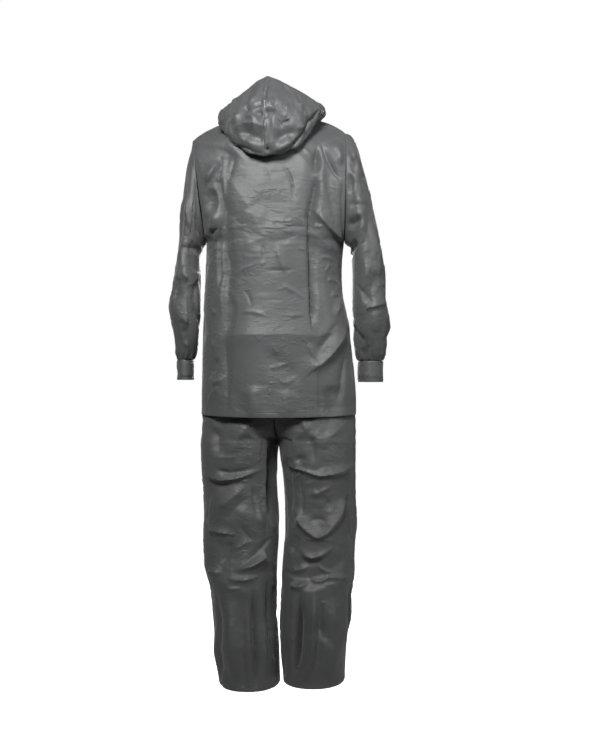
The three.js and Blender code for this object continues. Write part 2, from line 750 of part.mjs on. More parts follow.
// A box between two corners.
function block(x0, x1, y0, y1, z0, z1) {
  const box = new THREE.BoxGeometry(x1 - x0, y1 - y0, z1 - z0);
  return solid(box.translate((x0 + x1) / 2, (y0 + y1) / 2, (z0 + z1) / 2));
}

// The slider and its pull stand on the tapes' face: y is outwards, and z is up along the zip.
const SLIDER_FACE = SEAM + SLIDER.chainHeight + SLIDER.plate;
const PIN = {
  y: SLIDER_FACE + (BRIDGE.holeLow + BRIDGE.holeHigh) / 2,
  z: -BRIDGE.holeLength / 2 + PULL.bar + PULL.rest,
};

function zipSlider() {
  const halfWidth = SLIDER.width / 2;
  const halfLength = SLIDER.length / 2;
  const body = block(-halfWidth, halfWidth, SEAM, SLIDER_FACE, -halfLength, halfLength);
  const chain = SLIDER.chainWidth / 2;
  const channel = block(-chain, chain, 0, SEAM + SLIDER.chainHeight, -halfLength - 1, halfLength + 1);
  const top = SLIDER_FACE + BRIDGE.height;
  const bridge = block(-SLIDER.bridge / 2, SLIDER.bridge / 2, SLIDER_FACE - 0.1, top,
    -BRIDGE.length / 2, BRIDGE.length / 2);
  const hole = block(-SLIDER.bridge, SLIDER.bridge,
    SLIDER_FACE + BRIDGE.holeLow, SLIDER_FACE + BRIDGE.holeHigh,
    -BRIDGE.holeLength / 2, BRIDGE.holeLength / 2);
  return toGeometry(body.subtract(channel).add(bridge.subtract(hole)));
}

// The pull hangs from its bar in the slider's bridge; its origin is the bar.
function zipPull() {
  const halfWidth = PULL.width / 2;
  const halfThick = PULL.thick / 2;
  const armOut = SLIDER.bridge / 2 + PULL.play + PULL.arm;
  const barLength = armOut * 2 - PULL.arm / 4;
  const bar = new THREE.CylinderGeometry(PULL.bar, PULL.bar, barLength, 12).rotateZ(Math.PI / 2);
  const armsOuter = block(-armOut, armOut, -halfThick, halfThick, -PULL.reach - 1, 0);
  const gap = armOut - PULL.arm;
  const between = block(-gap, gap, -PULL.thick, PULL.thick, -PULL.reach, 1);
  const outline = new THREE.Shape();
  const low = -PULL.reach - PULL.length + halfWidth;
  outline.moveTo(halfWidth, low);
  outline.lineTo(halfWidth, -PULL.reach);
  outline.lineTo(-halfWidth, -PULL.reach);
  outline.lineTo(-halfWidth, low);
  outline.absarc(0, low, halfWidth, Math.PI, 2 * Math.PI, false);
  const plate = new THREE.ExtrudeGeometry(outline, {
    depth: PULL.thick,
    bevelEnabled: false,
    curveSegments: 6,
  });
  plate.translate(0, 0, -halfThick).rotateX(Math.PI / 2);
  return toGeometry(solid(plate).add(armsOuter.subtract(between)).add(solid(bar)));
}

for (const side of ["left", "right"]) {
  add(`jacket_front_${side}`, jacketFront(side), GREY_CLOTH);
  add(`sleeve_${side}`, sleeve(side), GREY_CLOTH);
  add(`cuff_${side}`, cuffBand(side), GREY_CLOTH);
  add(`cuff_tab_${side}`, cuffTab(side), GREY_CLOTH);
  add(`hood_${side}`, hoodHalf(side), GREY_CLOTH);
  add(`trouser_back_${side}`, legPanel(side, -1), GREY_CLOTH);
  add(`trouser_front_${side}`, legPanel(side, 1), GREY_CLOTH);
}
add("jacket_back", jacketBack(), GREY_CLOTH);
add("waistband", waistband(), GREY_CLOTH);
add("zip_tape_left", zipTape("left"), GREY_TAPE);
add("zip_tape_right", zipTape("right"), GREY_TAPE);

// The slider sits across both tapes, a row below their tops, and slopes with them
const zipEdges = ["left", "right"].map((side) => {
  return frontGrid(side).slice(-2 - ZIP.sliderRow).map((row) => row[0]);
});
const [seatLow, seatHigh] = [0, 1].map((k) => zipEdges[0][k].clone().lerp(zipEdges[1][k], 0.5));
const zipEnd = new THREE.Group();
zipEnd.position.copy(seatHigh).lerp(seatLow, 0.5);
zipEnd.rotation.x = Math.atan2(seatLow.y - seatHigh.y, seatHigh.z - seatLow.z);
zipEnd.translateY(-CLOTH - SEAM);
const slider = add("zip_slider", zipSlider(), GREY_METAL);
const pull = add("zip_pull_tab", zipPull(), GREY_METAL);
pull.position.set(0, PIN.y, PIN.z);
pull.rotation.x = radians(-PULL.lean);
zipEnd.add(slider, pull);
suit.add(zipEnd);

export default suit;
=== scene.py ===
"""A rain suit in its worn shape: a hooded jacket over trousers, hollow.

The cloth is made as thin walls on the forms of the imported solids, in millimetres at first.
The back faces -Y, the right sleeve is on +X and +Z is up.
"""
import itertools
import math

import bpy
import numpy as np
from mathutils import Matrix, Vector
from mathutils.geometry import delaunay_2d_cdt


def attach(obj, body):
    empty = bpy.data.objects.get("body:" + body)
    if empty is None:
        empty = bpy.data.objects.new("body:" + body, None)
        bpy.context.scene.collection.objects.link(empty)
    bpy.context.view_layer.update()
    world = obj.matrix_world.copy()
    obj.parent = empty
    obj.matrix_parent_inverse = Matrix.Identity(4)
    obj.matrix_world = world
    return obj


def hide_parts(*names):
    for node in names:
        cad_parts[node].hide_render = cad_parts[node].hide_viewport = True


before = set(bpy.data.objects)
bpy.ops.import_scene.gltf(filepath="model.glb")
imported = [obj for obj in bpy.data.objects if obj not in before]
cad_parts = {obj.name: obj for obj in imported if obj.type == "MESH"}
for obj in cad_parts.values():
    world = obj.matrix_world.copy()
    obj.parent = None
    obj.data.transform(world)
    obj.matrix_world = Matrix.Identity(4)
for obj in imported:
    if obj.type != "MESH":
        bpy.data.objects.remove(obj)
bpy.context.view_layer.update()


def table(columns, *rows):
    """Rows of numbers, as arrays with named columns."""
    data = np.array(rows, float)
    return {name: data[:, i] for i, name in enumerate(columns.split())}


# Cloth and seams
CLOTH = 0.7          # thickness of a wall
HEM_EXTRA = 0.5      # a turned-up hem stands this much proud
SEAM = 0.3           # gap between two panels at a seam
SPACING = 2.6        # distance between grid lines
SEAM_STEPS = (0.9, 2.0, 3.2, 4.6, 6.4)  # closer grid lines beside an edge
SEAM_TUCK = 1.1      # a panel's edge turns in by this at a seam
SEAM_ROW = 4.6       # a row of stitches runs this far from a seam
HEM_ROW = 11.6       # and this far from a turned-up hem
TURN = 0.113         # slope of the suit's slight turn

# Jacket body below the arms: the edges seen from behind, and the depth at the centre lines
MID_Y = -5
BODY = table(
    "z left right back front wrap",
    (-672, -177.8, 184.8, -148, 141, 90),
    (-635, -177.6, 184.4, -146, 140, 90),
    (-590, -177, 182, -143, 136, 90),
    (-526, -176, 175, -136, 131, 90),
    (-460, -174, 168, -129, 126, 90),
    (-395, -171, 154, -125, 124, 90),
    (-325, -168, 152, -123, 126, 90),
)
HEM_DIP = 5

# Jacket body beside the armholes: the angle on the armhole counts from the shoulder
YOKE = table(
    "armhole backZ back frontZ front wrap",
    (180, -272, -122, -272, 128, 90),
    (147, -248, -122, -250, 128, 84),
    (116, -200, -120, -208, 125, 74),
    (86, -146, -115, -160, 116, 66),
    (56, -92, -106, -118, 103, 60),
    (27, -40, -91, -82, 87, 55),
)
ARMHOLES = {
    "left": dict(topX=-197, topZ=-28, lowX=-166, lowZ=-272, y=9, depth=74),
    "right": dict(topX=161, topZ=-16, lowX=157, lowZ=-272, y=-19, depth=74),
}
NECK = dict(x=-12, y=-3, halfWidth=78, back=69, front=77, sideZ=20, backZ=7, frontZ=-50)
NECK_SHARE = 0.5     # share of a panel's top edge that lies on the neckline
SHOULDER_ARCH = 9
SHOULDER_LEAN = 0.3

# Sleeves: the outer and the inner edge seen from behind, the middle and half of the depth
SLEEVE_COLUMNS = "outX outZ inX inZ y depth"
SLEEVES = {
    "left": table(
        SLEEVE_COLUMNS,
        (-202, -50, -170, -277, 8, 76),
        (-210, -86, -174, -283, 6, 78),
        (-217, -132, -176, -291, 3, 79),
        (-228, -190, -177, -303, -1, 78),
        (-234, -252, -178, -325, -5, 75),
        (-240, -315, -179, -358, -9, 71),
        (-248, -372, -179, -398, -12, 68),
        (-254, -416, -179, -430, -13, 64),
        (-247, -458, -180, -464, -10, 60),
        (-239, -497, -183, -497, -3, 54),
        (-236, -525, -188, -523, 5, 48),
        (-236, -544, -194, -544, 11, 43),
    ),
    "right": table(
        SLEEVE_COLUMNS,
        (176, -24, 162, -277, -19, 76),
        (191, -49, 167, -283, -19, 79),
        (204, -92, 171, -291, -20, 81),
        (216, -145, 174, -301, -21, 80),
        (227, -210, 175, -316, -23, 77),
        (239, -275, 176, -342, -25, 73),
        (247, -338, 176, -376, -26, 69),
        (254, -398, 176, -414, -25, 66),
        (262, -455, 177, -458, -20, 62),
        (261, -498, 179, -496, -12, 56),
        (255, -528, 184, -526, -3, 49),
        (250, -547, 189, -547, 4, 43),
    ),
}
CUFFS = {
    "left": dict(top=-544, bottom=-592, outX=-236, inX=-196, y=11, depth=42),
    "right": dict(top=-547, bottom=-597, outX=250, inX=190, y=4, depth=42),
}
TAB = dict(first=3 / 16, last=7 / 16, width=28, below=10, out=1.7)

# Hood, worn down: stations round the neck from the centre of the back to the front
HOOD_COLUMNS = "foldOut foldZ rollOut rollZ brimOut brimZ"
HOOD = {
    "left": table(
        HOOD_COLUMNS,
        (49, -80, 68, -30, 10, 106),
        (48, -75, 67, -27, 12, 95),
        (46, -58, 63, -16, 14, 79),
        (42, -36, 59, -2, 17, 66),
        (36, -6, 53, 12, 20, 54),
        (28, 16, 47, 24, 21, 43),
        (27, 25, 43, 31, 21, 39),
        (27, 22, 40, 29, 20, 36),
        (27, 10, 36, 19, 20, 24),
        (26, -8, 34, 2, 20, 8),
        (25, -30, 32, -20, 19, -12),
        (23, -46, 28, -38, 17, -30),
        (20, -54, 24, -47, 15, -38),
    ),
    "right": table(
        HOOD_COLUMNS,
        (49, -80, 68, -30, 10, 106),
        (48, -77, 68, -27, 12, 98),
        (46, -62, 66, -14, 16, 86),
        (42, -38, 62, 2, 22, 74),
        (36, -4, 57, 18, 28, 63),
        (30, 18, 52, 29, 31, 52),
        (28, 25, 47, 34, 28, 44),
        (27, 22, 42, 30, 23, 37),
        (27, 10, 36, 19, 20, 24),
        (26, -8, 34, 2, 20, 8),
        (25, -30, 32, -20, 19, -12),
        (23, -46, 28, -38, 17, -30),
        (20, -54, 24, -47, 15, -38),
    ),
}
HOOD_OVER = 14
# Profile of the hood from its neck seam to the brim, between two of its stops
HOOD_PROFILE = (
    ("neck", "neck", 0, 0, 0, 0.3),
    ("neck", "neck", 0, 0, 1, 8.4),
    ("neck", "neck", 0, 0, 5, 12),
    ("neck", "neck", 0, 0, 11, 7.2),
    ("over", "fold", 0.55, 0.5, 0, 3),
    ("fold", "fold", 0, 0, 0, 6),
    ("fold", "roll", 0.5, 0, 0, 0),
    ("fold", "roll", 1, 0.45, -1, 0),
    ("roll", "brim", 0, 0.25, 0, 0),
    ("roll", "brim", 0.5, 0.68, 0, 0),
    ("brim", "brim", 0, 0, 0, 0),
)

# Trousers: the outer and inner edge of each leg seen from behind, and its depth
CROTCH_X = 4
LEG_COLUMNS = "z outer inner back front round"
LEGS = {
    "left": table(
        LEG_COLUMNS,
        (-1300, -133, 6, -80, 72, 2.2),
        (-1225, -142, 4.5, -85, 66, 2.3),
        (-1150, -150, 1, -87, 67, 2.3),
        (-1085, -157, -1, -85, 73, 2.3),
        (-1020, -165, 0, -81, 83, 2.3),
        (-955, -173, 3, -80, 90, 2.3),
        (-860, -175, 0, -89, 101, 2.3),
        (-780, -177, -2, -99, 105, 2.3),
        (-735, -177.5, 3.6, -103, 104, 2.15),
        (-708, -176, 34, -104, 98, 2),
        (-650, -174.6, 112, -104, 98, 2),
        (-540, -166, 142, -108, 104, 2),
        (-415, -134, 142, -100, 98, 2),
    ),
    "right": table(
        LEG_COLUMNS,
        (-1290, 158, 16, -80, 72, 2.2),
        (-1225, 164, 9.5, -85, 66, 2.3),
        (-1150, 170, 8.5, -87, 67, 2.3),
        (-1085, 175, 10, -85, 73, 2.3),
        (-1020, 180, 14, -81, 83, 2.3),
        (-955, 182, 18, -80, 90, 2.3),
        (-860, 183, 16.5, -89, 101, 2.3),
        (-780, 183.5, 10, -99, 105, 2.3),
        (-735, 184, 4.4, -103, 104, 2.15),
        (-708, 182.2, -26, -104, 96, 2),
        (-650, 180.8, -104, -104, 96, 2),
        (-540, 170, -134, -108, 104, 2),
        (-415, 142, -134, -100, 98, 2),
    ),
}
CROTCH_ROW = 8
HEM_BACK_DROP = 11
WAISTBAND = 38

# Front zip
ZIP = dict(topX=-3, lowX=17, gap=14, tapeWidth=18, tape=0.9, ease=4)
CAD_CLOTH = 1.4      # the solids' walls are this thick, and the zip lies behind them
TOOTH = dict(pitch=2.0, reach=2.9, high=0.8, wide=1.1)

# Creases: three points of each, seen from behind or from the front, its reach on the left and on
# the right of the way it runs, its height outwards, and how sharp its crest is from 0 to 1
CREASE = "x0 z0 x1 z1 x2 z2 left right rise sharp"
BACK_FOLDS = table(
    CREASE,
    (-104, -60, -114, -110, -121, -170, 15, 15, -5, 0),
    (-121, -170, -117, -235, -112, -300, 14, 14, -5, 0),
    (-112, -300, -116, -470, -122, -690, 17, 17, -5, 0),
    (92, -56, 87, -120, 80, -190, 15, 15, -6, 0),
    (80, -190, 84, -260, 88, -330, 14, 14, -7, 0),
    (88, -330, 92, -415, 96, -500, 18, 18, -6, 0),
    (-132, -84, -150, -112, -168, -140, 13, 13, 6, 0),
    (-148, -150, -149, -182, -150, -215, 15, 15, -6, 0),
    (-138, -205, -144, -230, -150, -255, 12, 12, 5, 0),
    (125, -40, 143, -72, 161, -105, 14, 14, 6, 0),
    (112, -70, 125, -155, 138, -240, 13, 13, -6, 0),
    (60, -250, 105, -275, 150, -300, 15, 15, 5, 0),
    (98, -560, 129, -515, 160, -470, 17, 17, 4, 0),
    (-30, -520, 15, -560, 60, -600, 18, 18, -4, 0),
    (-60, -600, -56, -636, -52, -690, 20, 20, 5, 0),
    (30, -610, 27, -641, 24, -690, 20, 20, 4, 0),
    (130, -600, 133, -636, 136, -690, 22, 22, -5, 0),
)
BACK_CREASES = table(
    CREASE,
    (-127, -470, -124, -360, -128, -255, 28, 8, 4.5, 0.7),
    (-128, -255, -122, -180, -121, -100, 24, 8, 4, 0.7),
    (-118, -695, -119, -571, -122, -496, 6, 10, -1.5, 0.8),
    (-122, -489, -103, -442, -116, -389, 14, 10, -4, 0.3),
    (-122, -387, -111, -332, -122, -293, 4, 6, -2, 0.7),
    (-130, -380, -133, -327, -130, -248, 6, 13, -7, 0.7),
    (-130, -248, -122, -208, -133, -139, 8, 10, -5, 0.5),
    (-133, -139, -130, -109, -128, -71, 4, 6, -3, 0.7),
    (-111, -139, -103, -109, -92, -69, 5, 8, -3, 0.7),
    (-166, -149, -145, -119, -128, -84, 14, 5, 5, 0.7),
    (-157, -261, -143, -249, -125, -245, 6, 8, -4, 0.6),
    (-140, -276, -137, -265, -134, -254, 8, 8, 3, 0.2),
    (-155, -304, -144, -293, -133, -277, 8, 8, 3.5, 0.3),
    (-145, -441, -151, -372, -146, -293, 14, 10, 5, 0.3),
    (-162, -444, -146, -438, -131, -427, 8, 8, 3, 0.5),
    (82, -489, 80, -397, 78, -307, 3.5, 10, -9, 0.8),
    (78, -307, 76, -268, 75, -221, 4, 10, -8, 0.7),
    (75, -223, 86, -168, 91, -121, 7, 9, -6, 0.5),
    (91, -124, 90, -94, 96, -49, 6, 8, -5, 0.5),
    (97, -486, 96, -397, 92, -258, 12, 18, 3, 0.3),
    (154, -268, 155, -198, 151, -131, 8, 4, -7, 0.7),
    (152, -140, 124, -101, 102, -41, 6, 9, -5, 0.6),
    (77, -191, 116, -239, 155, -269, 16, 6, 6, 0.7),
    (82, -244, 106, -239, 128, -225, 5, 6, 2, 0.7),
    (91, -248, 96, -223, 91, -203, 5, 5, -2, 0.5),
    (-148, -492, -29, -488, 92, -489, 20, 44, 3.2, 1),
    (92, -489, 125, -484, 170, -479, 18, 34, 3, 0.9),
    (66, -491, 82, -531, 97, -559, 14, 8, 3.5, 0.8),
    (97, -561, 130, -522, 170, -453, 24, 13, 8, 0.8),
    (91, -539, 113, -504, 145, -452, 10, 10, -3, 0.3),
    (-26, -489, -4, -519, 6, -544, 5, 5, 2.2, 0.8),
    (-20, -562, 6, -559, 35, -548, 4, 8, 2.4, 0.8),
    (9, -588, 26, -597, 49, -577, 6, 6, 1.8, 0.6),
    (-39, -502, -19, -514, -4, -517, 4, 4, 1.5, 0.8),
    (-1, -225, 19, -232, 42, -225, 3, 4, 1.6, 0.7),
    (6, -234, 26, -239, 46, -235, 3, 3, 1.4, 0.7),
    (-34, -243, -4, -246, 26, -243, 3, 3, 1.3, 0.7),
    (11, -250, 26, -254, 47, -251, 3, 3, 1.3, 0.7),
    (-26, -251, -14, -254, -3, -256, 3, 3, 1.1, 0.7),
    (-14, -228, -4, -230, 7, -228, 3, 3, 1.1, 0.7),
    (47, -288, 60, -294, 72, -298, 4, 4, 1.2, 0.7),
    (-125, -249, -88, -240, -42, -243, 5, 8, 1.5, 0.8),
    (26, -243, 51, -243, 75, -246, 4, 4, -1.6, 0.7),
    (-114, -287, -93, -276, -64, -274, 5, 7, 1.4, 0.8),
    (20, -352, 11, -322, -2, -282, 9, 9, 2.8, 0.6),
    (-29, -339, 6, -343, 47, -339, 4, 5, -1.4, 0.8),
    (-36, -284, -28, -301, -34, -328, 5, 5, -1.2, 0.6),
    (6, -372, 36, -388, 67, -408, 5, 5, 1.4, 0.7),
    (-103, -353, -78, -339, -38, -326, 5, 6, 1.4, 0.7),
    (-88, -443, -53, -437, -13, -453, 5, 6, 1.3, 0.7),
    (-34, -482, -19, -476, -3, -484, 6, 6, 1.6, 0.7),
    (26, -457, 46, -445, 71, -447, 6, 6, 1.3, 0.7),
    (-78, -387, -63, -402, -58, -427, 5, 5, -1.1, 0.7),
    (91, -318, 116, -311, 141, -323, 6, 6, 1.7, 0.7),
    (116, -371, 128, -361, 146, -373, 6, 6, 2, 0.7),
    (107, -348, 117, -337, 125, -320, 5, 5, 1.4, 0.7),
    (120, -403, 136, -396, 146, -414, 9, 9, 3, 0.6),
    (96, -458, 104, -453, 109, -461, 4, 4, 1.6, 0.7),
    (133, -452, 141, -417, 146, -372, 10, 8, 3, 0.4),
    (-163, -494, -151, -514, -136, -491, 9, 9, 3, 0.6),
    (-159, -582, -139, -597, -119, -574, 11, 8, 4.5, 0.7),
    (-153, -597, -145, -564, -132, -539, 9, 9, -3.5, 0.4),
    (-163, -646, -147, -622, -132, -604, 8, 8, 2.4, 0.5),
    (105, -695, 102, -616, 97, -563, 5, 8, -1.6, 0.8),
    (145, -655, 153, -596, 161, -521, 11, 9, -3.5, 0.4),
    (9, -97, 34, -134, 38, -190, 3, 4, -2.2, 0.8),
    (60, -58, 77, -75, 92, -91, 5, 5, 1.8, 0.7),
    (-88, -114, -43, -134, -4, -126, 30, 30, 1.6, 0),
    (-63, -178, -19, -198, 46, -186, 26, 30, -1.6, 0),
    (-93, -208, -53, -218, -14, -208, 20, 24, 1.4, 0.1),
)
HOOD_CREASES = table(
    CREASE,
    (-126, -34, -99, -66, -53, -77, 6, 10, 4, 0.3),
    (-53, -77, -13, -84, 21, -78, 6, 9, 4.5, 0.3),
    (21, -78, 68, -47, 101, -7, 7, 8, 5, 0.4),
    (101, -7, 111, 13, 99, 34, 6, 8, 6, 0.4),
    (-125, -27, -130, -4, -120, 19, 8, 7, 5, 0.3),
    (-100, -31, -98, -53, -69, -66, 5, 6, -5, 0.6),
    (-69, -66, -46, -77, -23, -80, 5, 5, -5, 0.7),
    (78, -2, 63, -29, 41, -58, 4, 6, -8, 0.8),
    (41, -58, 24, -74, -3, -80, 4, 5, -6, 0.7),
    (94, 29, 89, 11, 78, -2, 4, 5, -7, 0.8),
    (-29, 15, -13, 20, 9, 14, 3.5, 5, -11, 0.8),
    (-39, 31, -19, 39, -1, 33, 8, 10, 6, 0.5),
    (-53, 12, -39, 9, -24, 11, 8, 7, -7, 0.4),
    (-74, 13, -53, 1, -31, 3, 5, 6, 6, 0.6),
    (-36, -4, -24, 4, -19, 9, 4, 4, -4, 0.6),
    (6, 1, 19, 1, 35, 5, 3.5, 4, -4, 0.7),
    (11, -6, 26, -6, 38, 3, 3.5, 4, -4, 0.7),
    (6, -2, 21, -4, 41, 4, 3, 3, 3, 0.7),
    (-2, -1, 7, -12, 17, -24, 5, 5, -4, 0.6),
    (-99, -27, -78, -11, -49, -12, 6, 10, 6, 0.7),
    (-49, -12, -33, -16, -19, -24, 6, 9, 5, 0.7),
    (-86, -29, -53, -39, -23, -61, 14, 12, -8, 0.2),
    (-89, -41, -69, -47, -46, -66, 8, 8, 4, 0.3),
    (-9, -74, 19, -61, 54, -31, 9, 8, 6, 0.5),
    (1, -61, 19, -39, 48, -31, 12, 10, -6, 0.3),
    (41, -24, 54, -19, 66, -14, 6, 6, 4, 0.5),
    (-24, -74, -19, -71, -14, -74, 5, 6, -7, 0.4),
    (-110, -1, -101, 9, -91, 16, 5, 5, -4, 0.6),
    (-105, -6, -93, 4, -81, 13, 4, 5, 4, 0.6),
    (-84, 33, -61, 41, -39, 61, 5, 6, 4, 0.6),
    (-64, 43, -54, 51, -44, 56, 4, 4, -4, 0.6),
    (-74, 27, -66, 23, -57, 19, 4, 5, -6, 0.5),
    (-58, 30, -39, 33, -21, 39, 4, 5, -5, 0.7),
    (-15, 39, -6, 34, 4, 23, 4, 4, -5, 0.7),
    (20, 37, 23, 29, 23, 19, 5, 5, 3.5, 0.6),
    (43, 33, 63, 32, 83, 33, 5, 8, 2.5, 0.7),
    (-16, 83, -20, 61, -19, 39, 7, 5, 4, 0.7),
    (-31, 68, -24, 54, -23, 41, 6, 6, -4, 0.4),
    (44, 23, 58, 16, 66, 9, 8, 8, -3, 0.4),
    (-46, 24, -33, 23, -24, 24, 5, 5, 3, 0.5),
)
SLEEVE_LEFT_CREASES = table(
    CREASE,
    (-181, -284, -200, -236, -204, -146, 11, 8, 6.5, 0.5),
    (-173, -221, -182, -180, -186, -140, 8, 9, -5.5, 0.4),
    (-232, -285, -203, -288, -171, -284, 6, 8, -3, 0.7),
    (-217, -328, -202, -359, -173, -341, 12, 8, 5, 0.6),
    (-222, -435, -202, -465, -175, -484, 17, 8, 5.5, 0.7),
    (-182, -428, -187, -388, -181, -355, 10, 10, -6.5, 0.3),
    (-229, -497, -207, -439, -211, -368, 13, 12, 4.5, 0.3),
    (-218, -495, -215, -469, -217, -448, 8, 8, -3.5, 0.3),
    (-220, -502, -206, -511, -192, -526, 7, 7, 3, 0.5),
    (-225, -274, -221, -195, -208, -118, 12, 13, -3.5, 0.2),
    (-193, -104, -195, -72, -191, -41, 8, 9, -3, 0.4),
    (-231, -363, -223, -342, -220, -307, 9, 9, 3, 0.4),
    (-238, -413, -232, -383, -230, -342, 9, 10, -3.5, 0.3),
    (-182, -525, -179, -495, -177, -459, 7, 7, -4, 0.4),
)
SLEEVE_RIGHT_CREASES = table(
    CREASE,
    (157, -187, 188, -190, 220, -188, 5, 7, -2.4, 0.8),
    (155, -211, 177, -212, 213, -208, 6, 8, 2.4, 0.7),
    (156, -239, 178, -232, 202, -220, 10, 13, -6, 0.4),
    (159, -270, 182, -255, 204, -234, 8, 7, 6, 0.6),
    (157, -295, 173, -288, 194, -270, 12, 10, -6.5, 0.4),
    (156, -324, 172, -315, 190, -298, 8, 7, 5.5, 0.6),
    (160, -278, 168, -283, 176, -287, 3, 3, 1.8, 0.7),
    (163, -284, 172, -288, 181, -289, 3, 3, 1.8, 0.7),
    (166, -292, 175, -295, 185, -292, 3, 3, 1.6, 0.7),
    (175, -436, 213, -425, 258, -413, 22, 10, 5.5, 1),
    (168, -463, 188, -490, 211, -514, 14, 14, -5.5, 0.4),
    (172, -495, 190, -526, 202, -553, 10, 12, 4.5, 0.4),
    (241, -393, 229, -292, 216, -192, 15, 14, 3.5, 0.2),
    (173, -341, 200, -393, 229, -420, 12, 14, -4.5, 0.3),
    (178, -125, 177, -100, 166, -78, 8, 7, -5.5, 0.5),
    (163, -169, 167, -140, 159, -118, 9, 9, -8, 0.4),
    (147, -39, 168, -68, 180, -106, 9, 9, 4, 0.4),
    (117, -5, 143, -39, 158, -90, 9, 9, -3.5, 0.3),
    (200, -393, 188, -353, 182, -323, 9, 9, 3.5, 0.3),
    (238, -490, 228, -454, 231, -424, 11, 11, 3, 0.3),
)
LEG_LEFT_CREASES = table(
    CREASE,
    (-7, -955, -7, -835, -5, -700, 20, 16, -9, 0),
    (-169, -806, -117, -822, -22, -792, 15, 8, 7.5, 0.7),
    (-143, -794, -99, -806, -24, -787, 8, 7, -4, 0.4),
    (-165, -814, -134, -829, -99, -825, 10, 14, -4, 0.3),
    (-133, -768, -138, -730, -148, -697, 14, 12, -4.5, 0.3),
    (-107, -772, -88, -725, -53, -690, 17, 12, 3.5, 0.4),
    (-65, -792, -63, -739, -68, -694, 4, 6, -2, 0.8),
    (-12, -953, -13, -835, -12, -695, 12, 16, -8, 0.2),
    (-24, -945, -24, -835, -24, -699, 8, 5, 2.5, 0.6),
    (-148, -765, -121, -770, -76, -765, 5, 6, 1.8, 0.7),
    (-139, -886, -107, -866, -59, -825, 14, 10, 4, 0.4),
    (-121, -918, -90, -883, -60, -857, 10, 12, -3, 0.3),
    (-167, -938, -134, -943, -93, -950, 11, 7, 5, 0.7),
    (-103, -962, -112, -988, -134, -1032, 9, 9, -3.5, 0.4),
    (-105, -1029, -42, -1011, 8, -952, 15, 9, 8, 0.6),
    (-86, -1024, -42, -988, -3, -945, 9, 9, -3.5, 0.3),
    (-114, -1046, -81, -1053, -36, -1043, 9, 7, 4.5, 0.8),
    (-121, -1070, -99, -1073, -80, -1069, 5, 6, 2.2, 0.7),
    (-158, -1048, -143, -1035, -128, -1047, 10, 9, 5.5, 0.6),
    (-55, -963, -77, -971, -112, -988, 8, 8, 2.6, 0.6),
    (-86, -918, -72, -945, -55, -962, 8, 8, -2.6, 0.5),
    (-46, -1322, -50, -1186, -53, -1056, 8, 14.9, -11.4, 0.5),
    (-97, -1322, -103, -1186, -114, -1076, 23, 20.7, 6.4, 0.2),
    (-128, -1322, -135, -1208, -141, -1076, 11.5, 13.8, -6.6, 0.3),
    (-72, -1322, -77, -1208, -83, -1081, 11.5, 11.5, -4, 0.4),
    (-3, -1252, -13, -1142, -17, -1045, 11.5, 13.8, -8.8, 0.3),
    (-15, -1032, -7, -1059, -10, -1081, 6, 6, 3.5, 0.6),
    (-160, -918, -164, -892, -158, -857, 8, 8, -2.5, 0.4),
    (-46, -918, -47, -875, -55, -831, 8, 12, -3.5, 0.4),
    (-35, -940, -39, -901, -46, -857, 7, 7, 2.5, 0.5),
    (-86, -822, -72, -825, -59, -820, 5, 5, 2.5, 0.7),
)
LEG_RIGHT_CREASES = table(
    CREASE,
    (22, -930, 24, -840, 20, -720, 14, 18, -4, 0),
    (70, -702, 111, -724, 167, -675, 20, 14, 4.5, 0.4),
    (82, -787, 82, -747, 75, -719, 5, 8, -4.5, 0.6),
    (40, -689, 59, -686, 74, -728, 8, 8, 3.5, 0.5),
    (23, -776, 33, -752, 52, -715, 9, 8, 5, 0.5),
    (40, -782, 54, -772, 68, -782, 9, 9, -4.5, 0.4),
    (16, -788, 54, -797, 95, -809, 12, 7, 6.5, 0.8),
    (94, -809, 134, -805, 180, -788, 13, 7, 6.5, 0.8),
    (38, -821, 48, -810, 57, -803, 5, 5, 2.4, 0.7),
    (59, -912, 55, -857, 52, -804, 4, 6, -3, 0.7),
    (71, -853, 99, -849, 132, -829, 9, 8, 3.5, 0.6),
    (60, -822, 72, -831, 76, -813, 6, 6, 2, 0.6),
    (30, -877, 59, -927, 95, -953, 20, 8, 7.5, 0.6),
    (95, -953, 134, -919, 170, -843, 20, 8, 7.5, 0.6),
    (53, -974, 85, -1000, 137, -967, 13, 7, 5.5, 0.6),
    (59, -994, 76, -1010, 120, -994, 7, 9, -3, 0.4),
    (18, -1024, 50, -1029, 75, -1014, 8, 7, 4, 0.6),
    (92, -1014, 111, -1029, 127, -1033, 5, 5, 3.4, 0.7),
    (72, -1046, 98, -1052, 118, -1043, 6, 6, 3.6, 0.7),
    (116, -1044, 147, -1046, 180, -1048, 6, 7, 3, 0.8),
    (106, -1056, 121, -1060, 138, -1056, 4, 4, 2, 0.7),
    (19, -1033, 47, -1067, 78, -1040, 10, 7, 5, 0.6),
    (38, -1295, 50, -1186, 53, -1070, 9.2, 16.1, -15.2, 0.5),
    (68, -1295, 86, -1186, 86, -1056, 16.1, 10.3, 9.6, 0.4),
    (79, -1295, 94, -1186, 94, -1067, 5.8, 11.5, -6.1, 0.5),
    (160, -1295, 167, -1164, 172, -1054, 10.3, 13.8, -7.7, 0.3),
    (120, -1295, 127, -1186, 123, -1081, 20.7, 20.7, 5.1, 0.2),
    (92, -1250, 116, -1249, 138, -1252, 4, 4, 1.8, 0.8),
    (98, -1098, 108, -1101, 118, -1098, 4, 4, 1.5, 0.7),
    (177, -971, 169, -918, 172, -866, 9, 9, -3, 0.4),
    (155, -918, 164, -883, 167, -844, 9, 9, -3.5, 0.4),
    (120, -896, 121, -879, 116, -866, 8, 8, -2, 0.6),
    (72, -918, 94, -912, 116, -918, 9, 9, -2.4, 0.4),
    (28, -945, 32, -910, 26, -883, 8, 10, -3.5, 0.4),
    (33, -997, 41, -971, 50, -945, 8, 9, -3, 0.4),
)
